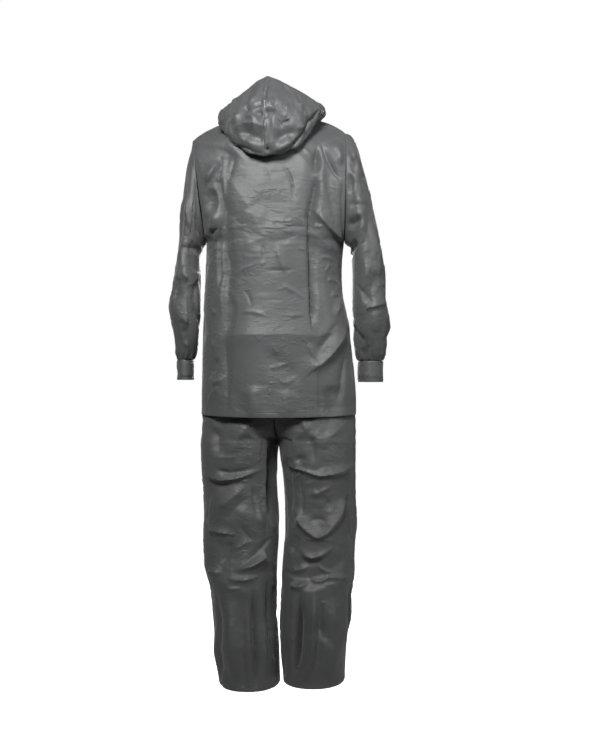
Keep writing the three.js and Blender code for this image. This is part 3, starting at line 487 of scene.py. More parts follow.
FRONT_CREASES = table(
    CREASE,
    (-150, -120, -138, -190, -118, -240, 9, 12, -7, 0.5),
    (-118, -240, -124, -350, -112, -470, 10, 14, -6, 0.4),
    (-112, -470, -118, -570, -114, -690, 12, 16, -4, 0.3),
    (-60, -300, -58, -450, -74, -560, 16, 14, -5, 0.2),
    (-74, -560, -70, -620, -76, -690, 16, 14, -4, 0.3),
    (130, -110, 122, -190, 104, -250, 12, 8, -7, 0.5),
    (104, -250, 112, -370, 110, -500, 14, 10, -6, 0.4),
    (110, -500, 106, -600, 112, -690, 14, 12, -4, 0.3),
    (58, -330, 70, -480, 70, -690, 15, 16, -4, 0.2),
    (-172, -478, -90, -470, -26, -476, 18, 36, 3, 0.9),
    (34, -480, 90, -472, 176, -484, 18, 34, 3, 0.9),
    (-172, -246, -100, -240, -24, -246, 7, 9, 1.6, 0.8),
    (28, -250, 90, -238, 150, -250, 6, 8, 1.6, 0.8),
    (-120, -540, -90, -590, -50, -600, 16, 10, 4.5, 0.6),
    (140, -520, 104, -590, 60, -600, 10, 16, 4, 0.6),
    (-140, -170, -110, -200, -70, -200, 7, 8, 2.6, 0.6),
    (60, -190, 96, -210, 134, -186, 7, 8, 2.4, 0.6),
    (-96, -300, -80, -330, -48, -336, 6, 7, 1.8, 0.7),
    (50, -300, 76, -316, 96, -300, 6, 6, 1.6, 0.7),
    (-60, -90, -80, -120, -110, -140, 8, 9, 3, 0.4),
    (50, -100, 70, -130, 96, -140, 8, 9, 3, 0.4),
    (-90, -400, -70, -420, -44, -420, 5, 5, 1.6, 0.7),
    (60, -420, 84, -400, 100, -410, 5, 6, 1.8, 0.7),
    (-150, -620, -120, -640, -90, -610, 9, 8, 2.6, 0.5),
    (100, -630, 130, -640, 160, -610, 8, 9, 2.6, 0.5),
)
SLEEVE_LEFT_FRONT_CREASES = table(
    CREASE,
    (-214, -140, -206, -180, -196, -220, 9, 11, -5, 0.4),
    (-206, -250, -196, -280, -184, -300, 8, 10, 5, 0.5),
    (-236, -300, -214, -310, -190, -306, 7, 9, -4, 0.5),
    (-244, -360, -222, -372, -192, -366, 18, 9, 5, 0.8),
    (-240, -400, -226, -430, -190, -440, 10, 9, -5, 0.4),
    (-250, -450, -226, -470, -200, -490, 9, 8, 4.5, 0.6),
    (-230, -470, -224, -510, -216, -536, 8, 8, -3, 0.4),
    (-232, -230, -226, -330, -236, -400, 13, 13, 3, 0.2),
)
SLEEVE_RIGHT_FRONT_CREASES = table(
    CREASE,
    (186, -110, 190, -150, 200, -190, 9, 10, -5, 0.4),
    (184, -256, 200, -240, 216, -222, 9, 8, 5, 0.5),
    (180, -300, 204, -310, 232, -300, 8, 9, -4, 0.5),
    (184, -370, 214, -372, 244, -356, 18, 9, 5, 0.8),
    (186, -440, 216, -430, 250, -400, 10, 10, -5, 0.4),
    (196, -500, 226, -480, 256, -456, 8, 9, 4.5, 0.6),
    (222, -536, 230, -506, 236, -470, 8, 8, -3, 0.4),
    (214, -230, 222, -320, 234, -400, 13, 13, 3, 0.2),
)
LEG_LEFT_FRONT_CREASES = table(
    CREASE,
    (-150, -790, -90, -806, -20, -788, 14, 8, 6, 0.7),
    (-30, -740, -46, -790, -100, -850, 12, 12, -5, 0.3),
    (-120, -900, -90, -860, -50, -840, 12, 10, 4, 0.4),
    (-150, -950, -96, -968, -30, -940, 15, 8, 6, 0.7),
    (-140, -1010, -86, -1036, -20, -1004, 14, 8, 6.5, 0.7),
    (-136, -1050, -90, -1066, -30, -1050, 8, 7, 4, 0.8),
    (-84, -1320, -80, -1200, -86, -1080, 13.8, 13.8, 8.8, 0.3),
    (-44, -1320, -46, -1200, -36, -1076, 11.5, 13.8, -11.4, 0.4),
    (-118, -1320, -122, -1220, -126, -1090, 12.6, 13.8, -7.7, 0.3),
    (-90, -740, -86, -780, -90, -830, 6, 8, -3, 0.6),
    (-60, -880, -66, -910, -60, -940, 8, 8, -2.5, 0.5),
)
LEG_RIGHT_FRONT_CREASES = table(
    CREASE,
    (24, -786, 96, -806, 164, -792, 13, 8, 6, 0.7),
    (40, -740, 60, -790, 110, -846, 12, 12, -5, 0.3),
    (70, -850, 100, -870, 130, -900, 10, 12, 4, 0.4),
    (40, -944, 100, -974, 160, -948, 15, 8, 6, 0.7),
    (34, -1002, 100, -1040, 158, -1010, 14, 8, 6.5, 0.7),
    (40, -1052, 96, -1070, 150, -1052, 8, 7, 4, 0.8),
    (92, -1320, 98, -1200, 100, -1080, 13.8, 13.8, 8.8, 0.3),
    (52, -1320, 54, -1200, 50, -1076, 13.8, 11.5, -11.4, 0.4),
    (134, -1320, 142, -1220, 148, -1090, 13.8, 12.6, -7.7, 0.3),
    (104, -740, 100, -780, 104, -830, 8, 6, -3, 0.6),
)


def mix(a, b, t):
    return a + (b - a) * t


def smooth(t):
    """From 0 to 1 and flat at both ends."""
    t = np.clip(t, 0, 1)
    return t * t * (3 - 2 * t)


def unit(vectors):
    return vectors / np.maximum(np.linalg.norm(vectors, axis=-1, keepdims=True), 1e-9)


def rows_of(columns):
    """The rows of a table, each as a dict."""
    return [dict(zip(columns, row)) for row in zip(*columns.values())]


def along(points, t):
    """Points of a smooth curve through evenly counted points, at parameters t."""
    last = len(points) - 1
    start = np.minimum(np.floor(t).astype(int), last - 1)
    shape = (-1,) + (1,) * (points.ndim - 1)
    s = (t - start).reshape(shape)
    at = lambda i: points[np.clip(i, 0, last)]
    leave = (at(start + 1) - at(start - 1)) * np.where(start > 0, 0.5, 1).reshape(shape)
    arrive = (at(start + 2) - at(start)) * np.where(start + 2 <= last, 0.5, 1).reshape(shape)
    return (
        at(start) * (2 * s**3 - 3 * s**2 + 1) + leave * (s**3 - 2 * s**2 + s)
        + at(start + 1) * (3 * s**2 - 2 * s**3) + arrive * (s**3 - s**2)
    )


def steps(length, start=(), end=(), even=False, spacing=SPACING):
    """Places from 0 to 1 at a spacing, and closer beside an edge where distances are given."""
    low = start[-1] if start else 0
    high = length - (end[-1] if end else 0)
    count = max(2, math.ceil((high - low) / spacing))
    count += count % 2 if even else 0
    middle = np.linspace(low, high, count + 1)
    first = [0, *start[:-1]] if start else []
    final = [length - d for d in reversed(end[:-1])] + [length] if end else []
    return np.array([*first, *middle, *final]) / length


def refine(key_rows, start=(), end=(), spacing=SPACING):
    """Fills in rows between the key rows of a grid."""
    lengths = np.linalg.norm(np.diff(key_rows, axis=0), axis=2).mean(axis=1)
    reached = np.concatenate([[0], np.cumsum(lengths)])
    places = steps(reached[-1], start, end, spacing=spacing) * reached[-1]
    return along(key_rows, np.interp(places, reached, np.arange(len(key_rows))))


def lattice_noise(points, size, seed):
    """Smooth noise from -1 to 1, with bumps of about a size in mm."""
    scaled = points / size
    cell = np.floor(scaled).astype(np.int64)
    inside = scaled - cell
    weight = inside**3 * (inside * (inside * 6 - 15) + 10)
    total = np.zeros(points.shape[:-1])
    for corner in itertools.product((0, 1), repeat=3):
        place = cell + np.array(corner)
        mixed = (place * np.array([73856093, 19349663, 83492791])).sum(axis=-1) + seed * 2654435
        mixed = (mixed ^ (mixed >> 13)) * 1274126177
        value = ((mixed ^ (mixed >> 16)) & 0xFFFF) / 32767.5 - 1
        share = np.where(np.array(corner) == 1, weight, 1 - weight).prod(axis=-1)
        total += value * share
    return total


class Panel:
    """A grid of outer points of one piece of cloth, with how far each is pushed outwards."""

    def __init__(self, points, centre, loop=False, check=slice(None)):
        self.base, self.loop = points, loop
        if loop:
            across = np.roll(points, -1, axis=1) - np.roll(points, 1, axis=1)
        else:
            across = np.gradient(points, axis=1)
        normals = unit(np.cross(across, np.gradient(points, axis=0)))
        away = points - np.array([*centre, 0]) if len(centre) == 2 else points - centre
        facing = (normals[..., :2] * away[..., :2]).sum(axis=-1)[:, check].mean()
        self.outward = 1 if facing > 0 else -1
        self.normals = normals * self.outward
        self.rise = np.zeros(points.shape[:2])
        self.keep = np.ones(points.shape[:2])
        self.thickness = np.full(points.shape[:2], float(CLOTH))

    def points(self, lift=0.0):
        return self.base + self.normals * (self.rise + lift)[..., None]

    def from_edge(self, axis, last=False):
        """Distance over the cloth of each point from the first or last row or column."""
        step = np.linalg.norm(np.diff(self.base, axis=axis), axis=2)
        reached = np.cumsum(step, axis=axis)
        if axis == 0:
            reached = np.vstack([np.zeros((1, reached.shape[1])), reached])
            return reached[-1:] - reached if last else reached
        reached = np.hstack([np.zeros((reached.shape[0], 1)), reached])
        return reached[:, -1:] - reached if last else reached

    def fade_from(self, curve, reach):
        """Keeps folds away from a curve, such as an armhole."""
        flat = self.base.reshape(-1, 3)
        nearest = np.full(len(flat), np.inf)
        for p in curve:
            nearest = np.minimum(nearest, ((flat - p) ** 2).sum(axis=1))
        self.keep *= smooth(np.sqrt(nearest).reshape(self.keep.shape) / reach)

    def tuck_edge(self, axis, last=False, depth=SEAM_TUCK):
        """Turns an edge in at its seam."""
        self.rise -= depth * np.exp(-((self.from_edge(axis, last) / 1.5) ** 2))

    def turn_up(self, axis, last, deep, stitched=True):
        """Doubles the cloth beside an edge, as a hem or a casing, and sinks its row of stitches."""
        far = self.from_edge(axis, last)
        self.rise += HEM_EXTRA * (1 - smooth((far - deep) / 1.6))
        self.rise -= 0.5 * np.exp(-((far / 1.0) ** 2))
        if stitched:
            self.rise -= 0.45 * np.exp(-(((far - deep + 1.4) / 0.9) ** 2))
            pucker = lattice_noise(self.base, 9, 71)
            self.rise += 0.45 * pucker * np.exp(-(((far - deep) / 7) ** 2))
        self.thickness = np.where(far < deep, CLOTH + HEM_EXTRA, self.thickness)


def lay_creases(rows, seen, reached, amount=1.0):
    """Lays creases, placed on the seen panels, on all the panels that they reach."""
    spots = np.concatenate([p.base[mask] for p, mask in seen])
    facing = np.concatenate([p.normals[mask] for p, mask in seen])
    highest = [np.zeros(p.base.shape[:2]) for p in reached]
    lowest = [np.zeros(p.base.shape[:2]) for p in reached]
    t = np.linspace(0, 1, 25)
    keys = [(row["x0"], row["z0"]) for row in rows] + [(row["x2"], row["z2"]) for row in rows]
    joined = lambda x, z: sum(math.hypot(x - a, z - b) < 2.5 for a, b in keys) > 1
    for row in rows:
        blend = np.stack([(1 - t) * (1 - 2 * t), 4 * t * (1 - t), t * (2 * t - 1)], axis=1)
        path = blend @ np.array([[row[f"x{k}"], row[f"z{k}"]] for k in range(3)])
        nearest = (((path[:, None] - spots[None][..., ::2]) ** 2).sum(axis=2)).argmin(axis=1)
        line = np.stack([path[:, 0], spots[nearest, 1], path[:, 1]], axis=1)
        line[1:-1, 1] = (line[:-2, 1] + line[1:-1, 1] + line[2:, 1]) / 3
        ways = np.diff(line, axis=0)
        sides = unit(np.cross(ways, (facing[nearest[1:]] + facing[nearest[:-1]]) / 2))
        ends = [joined(row["x0"], row["z0"]), joined(row["x2"], row["z2"])]
        margin = 3 * max(row["left"], row["right"])
        for k, panel in enumerate(reached):
            flat = panel.base.reshape(-1, 3)
            near = ((flat > line.min(axis=0) - margin) & (flat < line.max(axis=0) + margin)).all(axis=1)
            if not near.any():
                continue
            offset = flat[near][:, None] - line[None, :-1]
            share = np.clip((offset * ways).sum(axis=2) / (ways**2).sum(axis=1), 0, 1)
            offset -= share[..., None] * ways
            distance = np.sqrt((offset**2).sum(axis=2))
            best = distance.argmin(axis=1)
            pick = np.arange(len(best))
            right = (offset[pick, best] * sides[best]).sum(axis=1) > 0
            place = (best + share[pick, best]) / (len(t) - 1)
            taper = np.ones(len(best))
            if not ends[0]:
                taper *= smooth(place / 0.35)
            if not ends[1]:
                taper *= smooth((1 - place) / 0.35)
            wide = np.where(right, row["right"], row["left"]) * (0.6 + 0.4 * taper)
            u = distance[pick, best] / wide
            crest = row["sharp"] * np.exp(-1.7 * u) + (1 - row["sharp"]) * np.exp(-u * u)
            height = row["rise"] * crest * taper
            for total, choose in ((highest[k], np.maximum), (lowest[k], np.minimum)):
                values = total.reshape(-1)
                values[near] = choose(values[near], height)
    for panel, up, down in zip(reached, highest, lowest):
        panel.rise += amount * panel.keep * (up + down)


def above_hem(panel):
    """1 in the middle of the flat panel below the back's cross crease, and 0 elsewhere."""
    x, z = panel.base[..., 0], panel.base[..., 2]
    return np.exp(-((x / 110) ** 4)) * smooth((-500 - z) / 30) * (z > -740)


def crumple(panels, amount, size, seed, stretch=(1, 1, 1)):
    """Adds a net of small sharp wrinkles, as thin coated cloth has; the panel above the hem lies flat."""
    for panel in panels:
        place = panel.base / np.array(stretch)
        warp = np.stack([lattice_noise(place, size * 1.3, seed + k) for k in (11, 12, 13)], axis=-1)
        place = place + warp * size * 0.35
        net = 1 - 2 * np.abs(lattice_noise(place, size, seed)) ** 0.8
        valleys = 1 - 2 * np.abs(lattice_noise(place, size * 0.8, seed + 5)) ** 0.8
        patches = smooth(0.5 + 0.9 * lattice_noise(panel.base, size * 3, seed + 9))
        panel.rise += amount * (1 - 0.6 * above_hem(panel)) * panel.keep * patches * (net - valleys) / 2


def facets(panel, amount, size, seed, shares=1):
    """Breaks the cloth into flat facets of uneven size with straight creases between them."""
    across, along_it = panel.from_edge(1).mean(axis=0), panel.from_edge(0).mean(axis=1)
    girth = across[-1] + (across[-1] - across[-2] if panel.loop else 0)
    columns, count = round(girth / size), round(along_it[-1] / size) + 2
    random = np.random.default_rng(seed)
    u, v = np.meshgrid(np.arange(columns), np.arange(count))
    u = (u + random.uniform(0.05, 0.95, u.shape)) * girth / columns
    v = (v - 0.5 + random.uniform(-0.45, 0.45, v.shape)) * size
    heights = random.uniform(-1, 1, u.shape)
    turns = (-girth, 0, girth)
    sites = np.concatenate([np.stack([u + turn, v, heights], axis=-1).reshape(-1, 3) for turn in turns])
    if not panel.loop:
        sites = sites[(sites[:, 0] > -size) & (sites[:, 0] < girth + size)]
    flat = [Vector(site[:2]) for site in sites]
    faces = delaunay_2d_cdt(flat, [], [], 0, 1e-5)[2]
    field = np.zeros((len(along_it), len(across)))
    for face in faces:
        a, b, c = sites[list(face)]
        low, high = np.min([a, b, c], axis=0), np.max([a, b, c], axis=0)
        rows = np.flatnonzero((along_it >= low[1]) & (along_it <= high[1]))
        cells = np.flatnonzero((across >= low[0]) & (across <= high[0]))
        if not len(rows) or not len(cells):
            continue
        x, y = across[cells][None] - a[0], along_it[rows][:, None] - a[1]
        ab, ac = b[:2] - a[:2], c[:2] - a[:2]
        area = ab[0] * ac[1] - ab[1] * ac[0]
        if abs(area) < 1e-9:
            continue
        p, q = (x * ac[1] - y * ac[0]) / area, (ab[0] * y - ab[1] * x) / area
        inside = (p >= 0) & (q >= 0) & (p + q <= 1)
        value = a[2] + p * (b[2] - a[2]) + q * (c[2] - a[2])
        block = field[np.ix_(rows, cells)]
        field[np.ix_(rows, cells)] = np.where(inside, value, block)
    for _ in range(3):
        ends = np.pad(field, 1, mode="edge")
        if panel.loop:
            ends[:, 0], ends[:, -1] = ends[:, -2], ends[:, 1]
        field = (4 * field + ends[:-2, 1:-1] + ends[2:, 1:-1] + ends[1:-1, :-2] + ends[1:-1, 2:]) / 8
    rim = smooth(np.minimum(panel.from_edge(0), panel.from_edge(0, True)) / 22)
    if not panel.loop:
        rim *= smooth(np.minimum(panel.from_edge(1), panel.from_edge(1, True)) / 22)
    panel.rise += amount * shares * panel.keep * rim * field


def hold_clear(panel, mask, most):
    """Keeps the folds of a region from reaching the piece beside it."""
    panel.rise = np.where(mask, np.minimum(panel.rise, most), panel.rise)


# The forms of the pieces, as the solids have them


def armhole_point(side, degrees, face):
    hole = ARMHOLES[side]
    turn = (1 + math.cos(math.radians(degrees))) / 2
    y = hole["y"] + face * hole["depth"] * math.sin(math.radians(degrees))
    return np.array([mix(hole["lowX"], hole["topX"], turn), y, mix(hole["lowZ"], hole["topZ"], turn)])


def armhole_curve(side):
    half = [armhole_point(side, d, face) for face in (-1, 1) for d in np.linspace(0, 180, 60)]
    return np.array(half)


def arc_points(centre, edge, shares, wrap_degrees):
    """Points on an arc from the centre line out to an edge."""
    wrap = math.radians(wrap_degrees)
    out = np.sin(shares * wrap) / math.sin(wrap)
    turn = (np.cos(shares * wrap) - math.cos(wrap)) / (1 - math.cos(wrap))
    x = mix(centre[0], edge[0], out)
    return np.stack([x, mix(edge[1], centre[1], turn), mix(edge[2], centre[2], turn)], axis=1)


def neck_height(turn, face):
    low = np.where(np.asarray(face) < 0, NECK["backZ"], NECK["frontZ"])
    return mix(low, NECK["sideZ"], np.sin(turn) ** 2)


def neck_point(across, behind, out, z):
    x = across * (NECK["halfWidth"] + out)
    y = behind * (np.where(behind < 0, NECK["back"], NECK["front"]) + out)
    return np.stack(np.broadcast_arrays(NECK["x"] + x + TURN * y, NECK["y"] + y - TURN * x, z), axis=-1)


def top_edge(side, shares, face):
    """The neckline up to its share of a panel's top edge, then the shoulder seam."""
    sign = -1 if side == "left" else 1
    turn = np.minimum(shares / NECK_SHARE, 1) * math.pi / 2
    neck = neck_point(sign * np.sin(turn), face * np.cos(turn), 0, neck_height(turn, face))
    t = np.clip((shares - NECK_SHARE) / (1 - NECK_SHARE), 0, 1)
    points = mix(neck, armhole_point(side, 0, face), t[:, None])
    points[:, 2] += SHOULDER_ARCH * 4 * t * (1 - t) * (1 + SHOULDER_LEAN * (2 * t - 1))
    return points


YOKE_X = (ARMHOLES["left"]["lowX"] + ARMHOLES["right"]["lowX"]) / 2


def body_key_rows(side, face, shares):
    """Key rows of one half of a body panel, from the centre line to the side seam or armhole."""
    rows = []
    for row in rows_of(BODY):
        middle = (row["left"] + row["right"]) / 2
        depth = row["back"] if face < 0 else row["front"]
        centre = (middle + TURN * (depth - MID_Y), depth, row["z"])
        edge = (row[side], MID_Y - TURN * (row[side] - middle), row["z"])
        rows.append(arc_points(centre, edge, shares, row["wrap"]))
    for row in rows_of(YOKE):
        z, depth = (row["backZ"], row["back"]) if face < 0 else (row["frontZ"], row["front"])
        centre = (YOKE_X + TURN * (depth - MID_Y), depth, z)
        rows.append(arc_points(centre, armhole_point(side, row["armhole"], face), shares, row["wrap"]))
    rows.append(top_edge(side, shares, face))
    if face < 0:
        rows[0][:, 2] -= HEM_DIP * np.cos(shares * math.pi / 2)
    grid = np.array(rows)
    grid[..., 1] += face * SEAM / 2
    return grid


HEM_STEPS = (0.8, 2.2, 5, 8, 9.8, 10.8, 11.8, 12.8, 14.2, 16.4)
HALF_GIRTH = 262


def refine_body(key_rows):
    under = len(BODY["z"])
    below = refine(key_rows[:under + 1], start=HEM_STEPS)
    above = refine(key_rows[under:], end=SEAM_STEPS)
    return np.concatenate([below, above[1:]])


def zip_x(z):
    share = (z - NECK["frontZ"]) / (BODY["z"][0] - NECK["frontZ"])
    return mix(ZIP["topX"], ZIP["lowX"], share)


def to_zip(side, points, shares, edge_x):
    """Moves the inner edge of a front to the zip, and the columns beside it less and less."""
    sign = -1 if side == "left" else 1
    points[..., 0] += (zip_x(points[..., 2]) + sign * ZIP["gap"] / 2 - edge_x) * (1 - shares) ** ZIP["ease"]


def jacket_back_panel():
    shares = steps(HALF_GIRTH, end=SEAM_STEPS)
    left = body_key_rows("left", -1, shares)[:, :0:-1]
    right = body_key_rows("right", -1, shares)
    return Panel(refine_body(np.concatenate([left, right], axis=1)), (YOKE_X, MID_Y))


def jacket_front_panel(side):
    shares = steps(HALF_GIRTH, start=SEAM_STEPS, end=SEAM_STEPS)
    rows = body_key_rows(side, 1, shares)
    for row in rows:
        to_zip(side, row, shares, row[0, 0])
    return Panel(refine_body(rows), (YOKE_X, MID_Y))


def sleeve_ring(row, turns):
    t = (1 + np.cos(turns)) / 2
    return np.stack([
        mix(row["inX"], row["outX"], t), row["y"] - row["depth"] * np.sin(turns),
        mix(row["inZ"], row["outZ"], t),
    ], axis=1)


def ring_turns(length):
    """Turns round a sleeve, from its underarm seam and back to it."""
    places = steps(length, even=True)
    return math.pi + places[:-1] * 2 * math.pi


def sleeve_panel(side):
    sign = -1 if side == "left" else 1
    hole = ARMHOLES[side]
    first = dict(
        outX=hole["topX"] + sign * SEAM, outZ=hole["topZ"],
        inX=hole["lowX"] + sign * SEAM * 2, inZ=hole["lowZ"], y=hole["y"], depth=hole["depth"],
    )
    turns = ring_turns(400)
    rings = np.array([sleeve_ring(row, turns) for row in [first, *rows_of(SLEEVES[side])]])
    grid = refine(rings, start=SEAM_STEPS, end=SEAM_STEPS)
    return Panel(grid, grid.mean(axis=1, keepdims=True), loop=True)


def cuff_rows(side, turns, heights, out=0.0):
    cuff = CUFFS[side]
    grow = math.copysign(out, cuff["outX"])
    ring = dict(outX=cuff["outX"] + grow, inX=cuff["inX"] - grow, y=cuff["y"], depth=cuff["depth"] + out)
    return np.array([sleeve_ring(dict(ring, outZ=z, inZ=z), turns) for z in heights])


def cuff_panel(side):
    cuff = CUFFS[side]
    high = cuff["top"] - cuff["bottom"] - SEAM
    heights = cuff["bottom"] + high * steps(high, start=SEAM_STEPS, end=SEAM_STEPS)
    grid = cuff_rows(side, ring_turns(230), heights)
    return Panel(grid, grid.mean(axis=1, keepdims=True), loop=True)


def cuff_tab_panel(side):
    top = CUFFS[side]["top"] - TAB["below"]
    heights = top - TAB["width"] * (1 - steps(TAB["width"], start=(0.6, 1.4, 2.4), end=(0.6, 1.4, 2.4)))
    shares = steps(60, start=(0.6, 1.4, 2.4), end=(0.6, 1.4, 2.4))
    turns = mix(TAB["first"], TAB["last"], shares) * 2 * math.pi
    grid = cuff_rows(side, turns, heights, TAB["out"])
    middle = (CUFFS[side]["outX"] + CUFFS[side]["inX"]) / 2
    return Panel(grid, (middle, CUFFS[side]["y"]))


def hood_panel(side):
    """Half of the hood: from the neckline up its stand, down behind, round the fold and up to the brim."""
    sign = -1 if side == "left" else 1
    stations = rows_of(HOOD[side])
    turns = np.linspace(0, math.pi, len(stations))
    face = np.where(turns <= math.pi / 2, -1, 1)
    neck_z = neck_height(turns, face)
    column = lambda name: np.array([row[name] for row in stations])
    stops = {
        "neck": (0 * turns, neck_z), "over": (0 * turns + HOOD_OVER, neck_z),
        "fold": (column("foldOut"), column("foldZ")), "roll": (column("rollOut"), column("rollZ")),
        "brim": (column("brimOut"), column("brimZ")),
    }
    profile = []
    for low, high, out_share, up_share, move_out, move_up in HOOD_PROFILE:
        out = mix(stops[low][0], stops[high][0], out_share) + move_out
        up = mix(stops[low][1], stops[high][1], up_share) + move_up
        points = neck_point(sign * np.sin(turns), -np.cos(turns), out, up)
        shares = (1 - turns / math.pi) * 2 * NECK_SHARE
        moved = points.copy()
        to_zip(side, moved, shares, neck_point(0.0, 1.0, 0, 0)[0])
        profile.append(np.where((face > 0)[:, None], moved, points))
    grid = np.array(profile).transpose(1, 0, 2)
    grid[0, :, 0] += sign * SEAM / 2
    grid = refine(grid, start=SEAM_STEPS, end=SEAM_STEPS, spacing=HOOD_SPACING)
    grid = refine(grid.transpose(1, 0, 2), end=BRIM_STEPS, spacing=HOOD_SPACING).transpose(1, 0, 2)
    return Panel(grid, (NECK["x"], NECK["y"]), check=slice(-30, None))


HOOD_SPACING = 1.6
BRIM_STEPS = (0.8, 2.2, 5, 8, 11, 13.4, 14.4, 15.4, 16.4, 18)


def turned(points):
    """Gives points of the trousers the suit's slight turn, about the crotch."""
    x, y, z = points[..., 0], points[..., 1], points[..., 2]
    return np.stack([x + TURN * (y - MID_Y), y - TURN * (x - CROTCH_X), z], axis=-1)


def oval_points(middle, half, mid_y, deep, rounding, turns, z):
    across = np.sign(np.cos(turns)) * np.abs(np.cos(turns)) ** (2 / rounding)
    behind = np.sign(np.sin(turns)) * np.abs(np.sin(turns)) ** (2 / rounding)
    return np.stack([middle + half * across, mid_y + deep * behind, z + 0 * turns], axis=-1)


def leg_panel(side, face):
    sign = -1 if side == "left" else 1
    shares = steps(240, start=SEAM_STEPS, end=SEAM_STEPS)
    rows = []
    for row in rows_of(LEGS[side]):
        middle, half = (row["outer"] + row["inner"]) / 2, (row["inner"] - row["outer"]) / 2
        above = row["z"] > LEGS[side]["z"][CROTCH_ROW]
        limit = (CROTCH_X + sign * SEAM / 2 - middle) / half if above else 1
        end = math.acos(math.copysign(abs(limit) ** (row["round"] / 2), limit))
        mid_y, deep = (row["back"] + row["front"]) / 2, (row["front"] - row["back"]) / 2
        round_leg = face * mix(math.pi, end, shares)
        points = oval_points(middle, half, mid_y, deep, row["round"], round_leg, row["z"])
        points[:, 1] += face * SEAM / 2
        rows.append(turned(points))
    if face < 0:
        rows[0][:, 2] -= HEM_BACK_DROP * np.sin(shares * math.pi)
    rows = np.array(rows)
    below = refine(rows[:CROTCH_ROW + 1], start=HEM_STEPS)
    above = refine(rows[CROTCH_ROW:], end=SEAM_STEPS)
    middle = LEGS[side]["outer"].mean() / 2
    return Panel(np.concatenate([below, above[1:]]), (middle, MID_Y))


def waistband_panel():
    left, right = rows_of(LEGS["left"])[-1], rows_of(LEGS["right"])[-1]
    turns = steps(870, even=True)[:-1] * 2 * math.pi
    heights = left["z"] + SEAM + (WAISTBAND - SEAM) * steps(WAISTBAND, start=SEAM_STEPS, end=SEAM_STEPS)
    rows = [
        turned(oval_points(
            (right["outer"] + left["outer"]) / 2, (right["outer"] - left["outer"]) / 2,
            (left["front"] + left["back"]) / 2, (left["front"] - left["back"]) / 2,
            left["round"], turns, z,
        ))
        for z in heights
    ]
    grid = np.array(rows)
    return Panel(grid, grid.mean(axis=1, keepdims=True), loop=True)


def tape_panel(side, front):
    """A tape goes on from its front's inner edge, on the inside of the wall."""
    sign = -1 if side == "left" else 1
    edge, inner = front.base[:, 0], front.base[:, 8]
    slope = (inner - edge) / (inner[:, :1] - edge[:, :1])
    offsets = np.array([SEAM / 2, 2, 4, ZIP["gap"] / 2, 11, 14.5, ZIP["tapeWidth"]])
    x = zip_x(edge[:, 2])[:, None] + sign * offsets
    grid = edge[:, None] + slope[:, None] * (x - edge[:, :1])[..., None]
    grid -= front.normals[:, :1] * (CAD_CLOTH + SEAM)
    panel = Panel(grid, (YOKE_X, MID_Y))
    panel.thickness[:] = ZIP["tape"]
    return panel


# Making the meshes


def sparse(count):
    """Every second grid line, and the last one."""
    lines = list(range(0, count, 2))
    return lines if lines[-1] == count - 1 else lines + [count - 1]


def lowest_near(values, loop):
    """The lowest value within two grid lines of each place."""
    low = values.copy()
    for _ in range(2):
        padded = np.pad(low, ((1, 1), (0, 0)), mode="edge")
        low = np.minimum(np.minimum(padded[:-2], padded[2:]), low)
        padded = np.pad(low, ((0, 0), (1, 1)), mode="wrap" if loop else "edge")
        low = np.minimum(np.minimum(padded[:, :-2], padded[:, 2:]), low)
    return low


def lengths_over(points, axis):
    """Distance over the cloth along the middle of a grid, in metres, for its weave."""
    line = points[:, points.shape[1] // 2] if axis == 0 else points[points.shape[0] // 2]
    step = np.linalg.norm(np.diff(line, axis=0), axis=1)
    return np.concatenate([[0], np.cumsum(step)]) / 1000


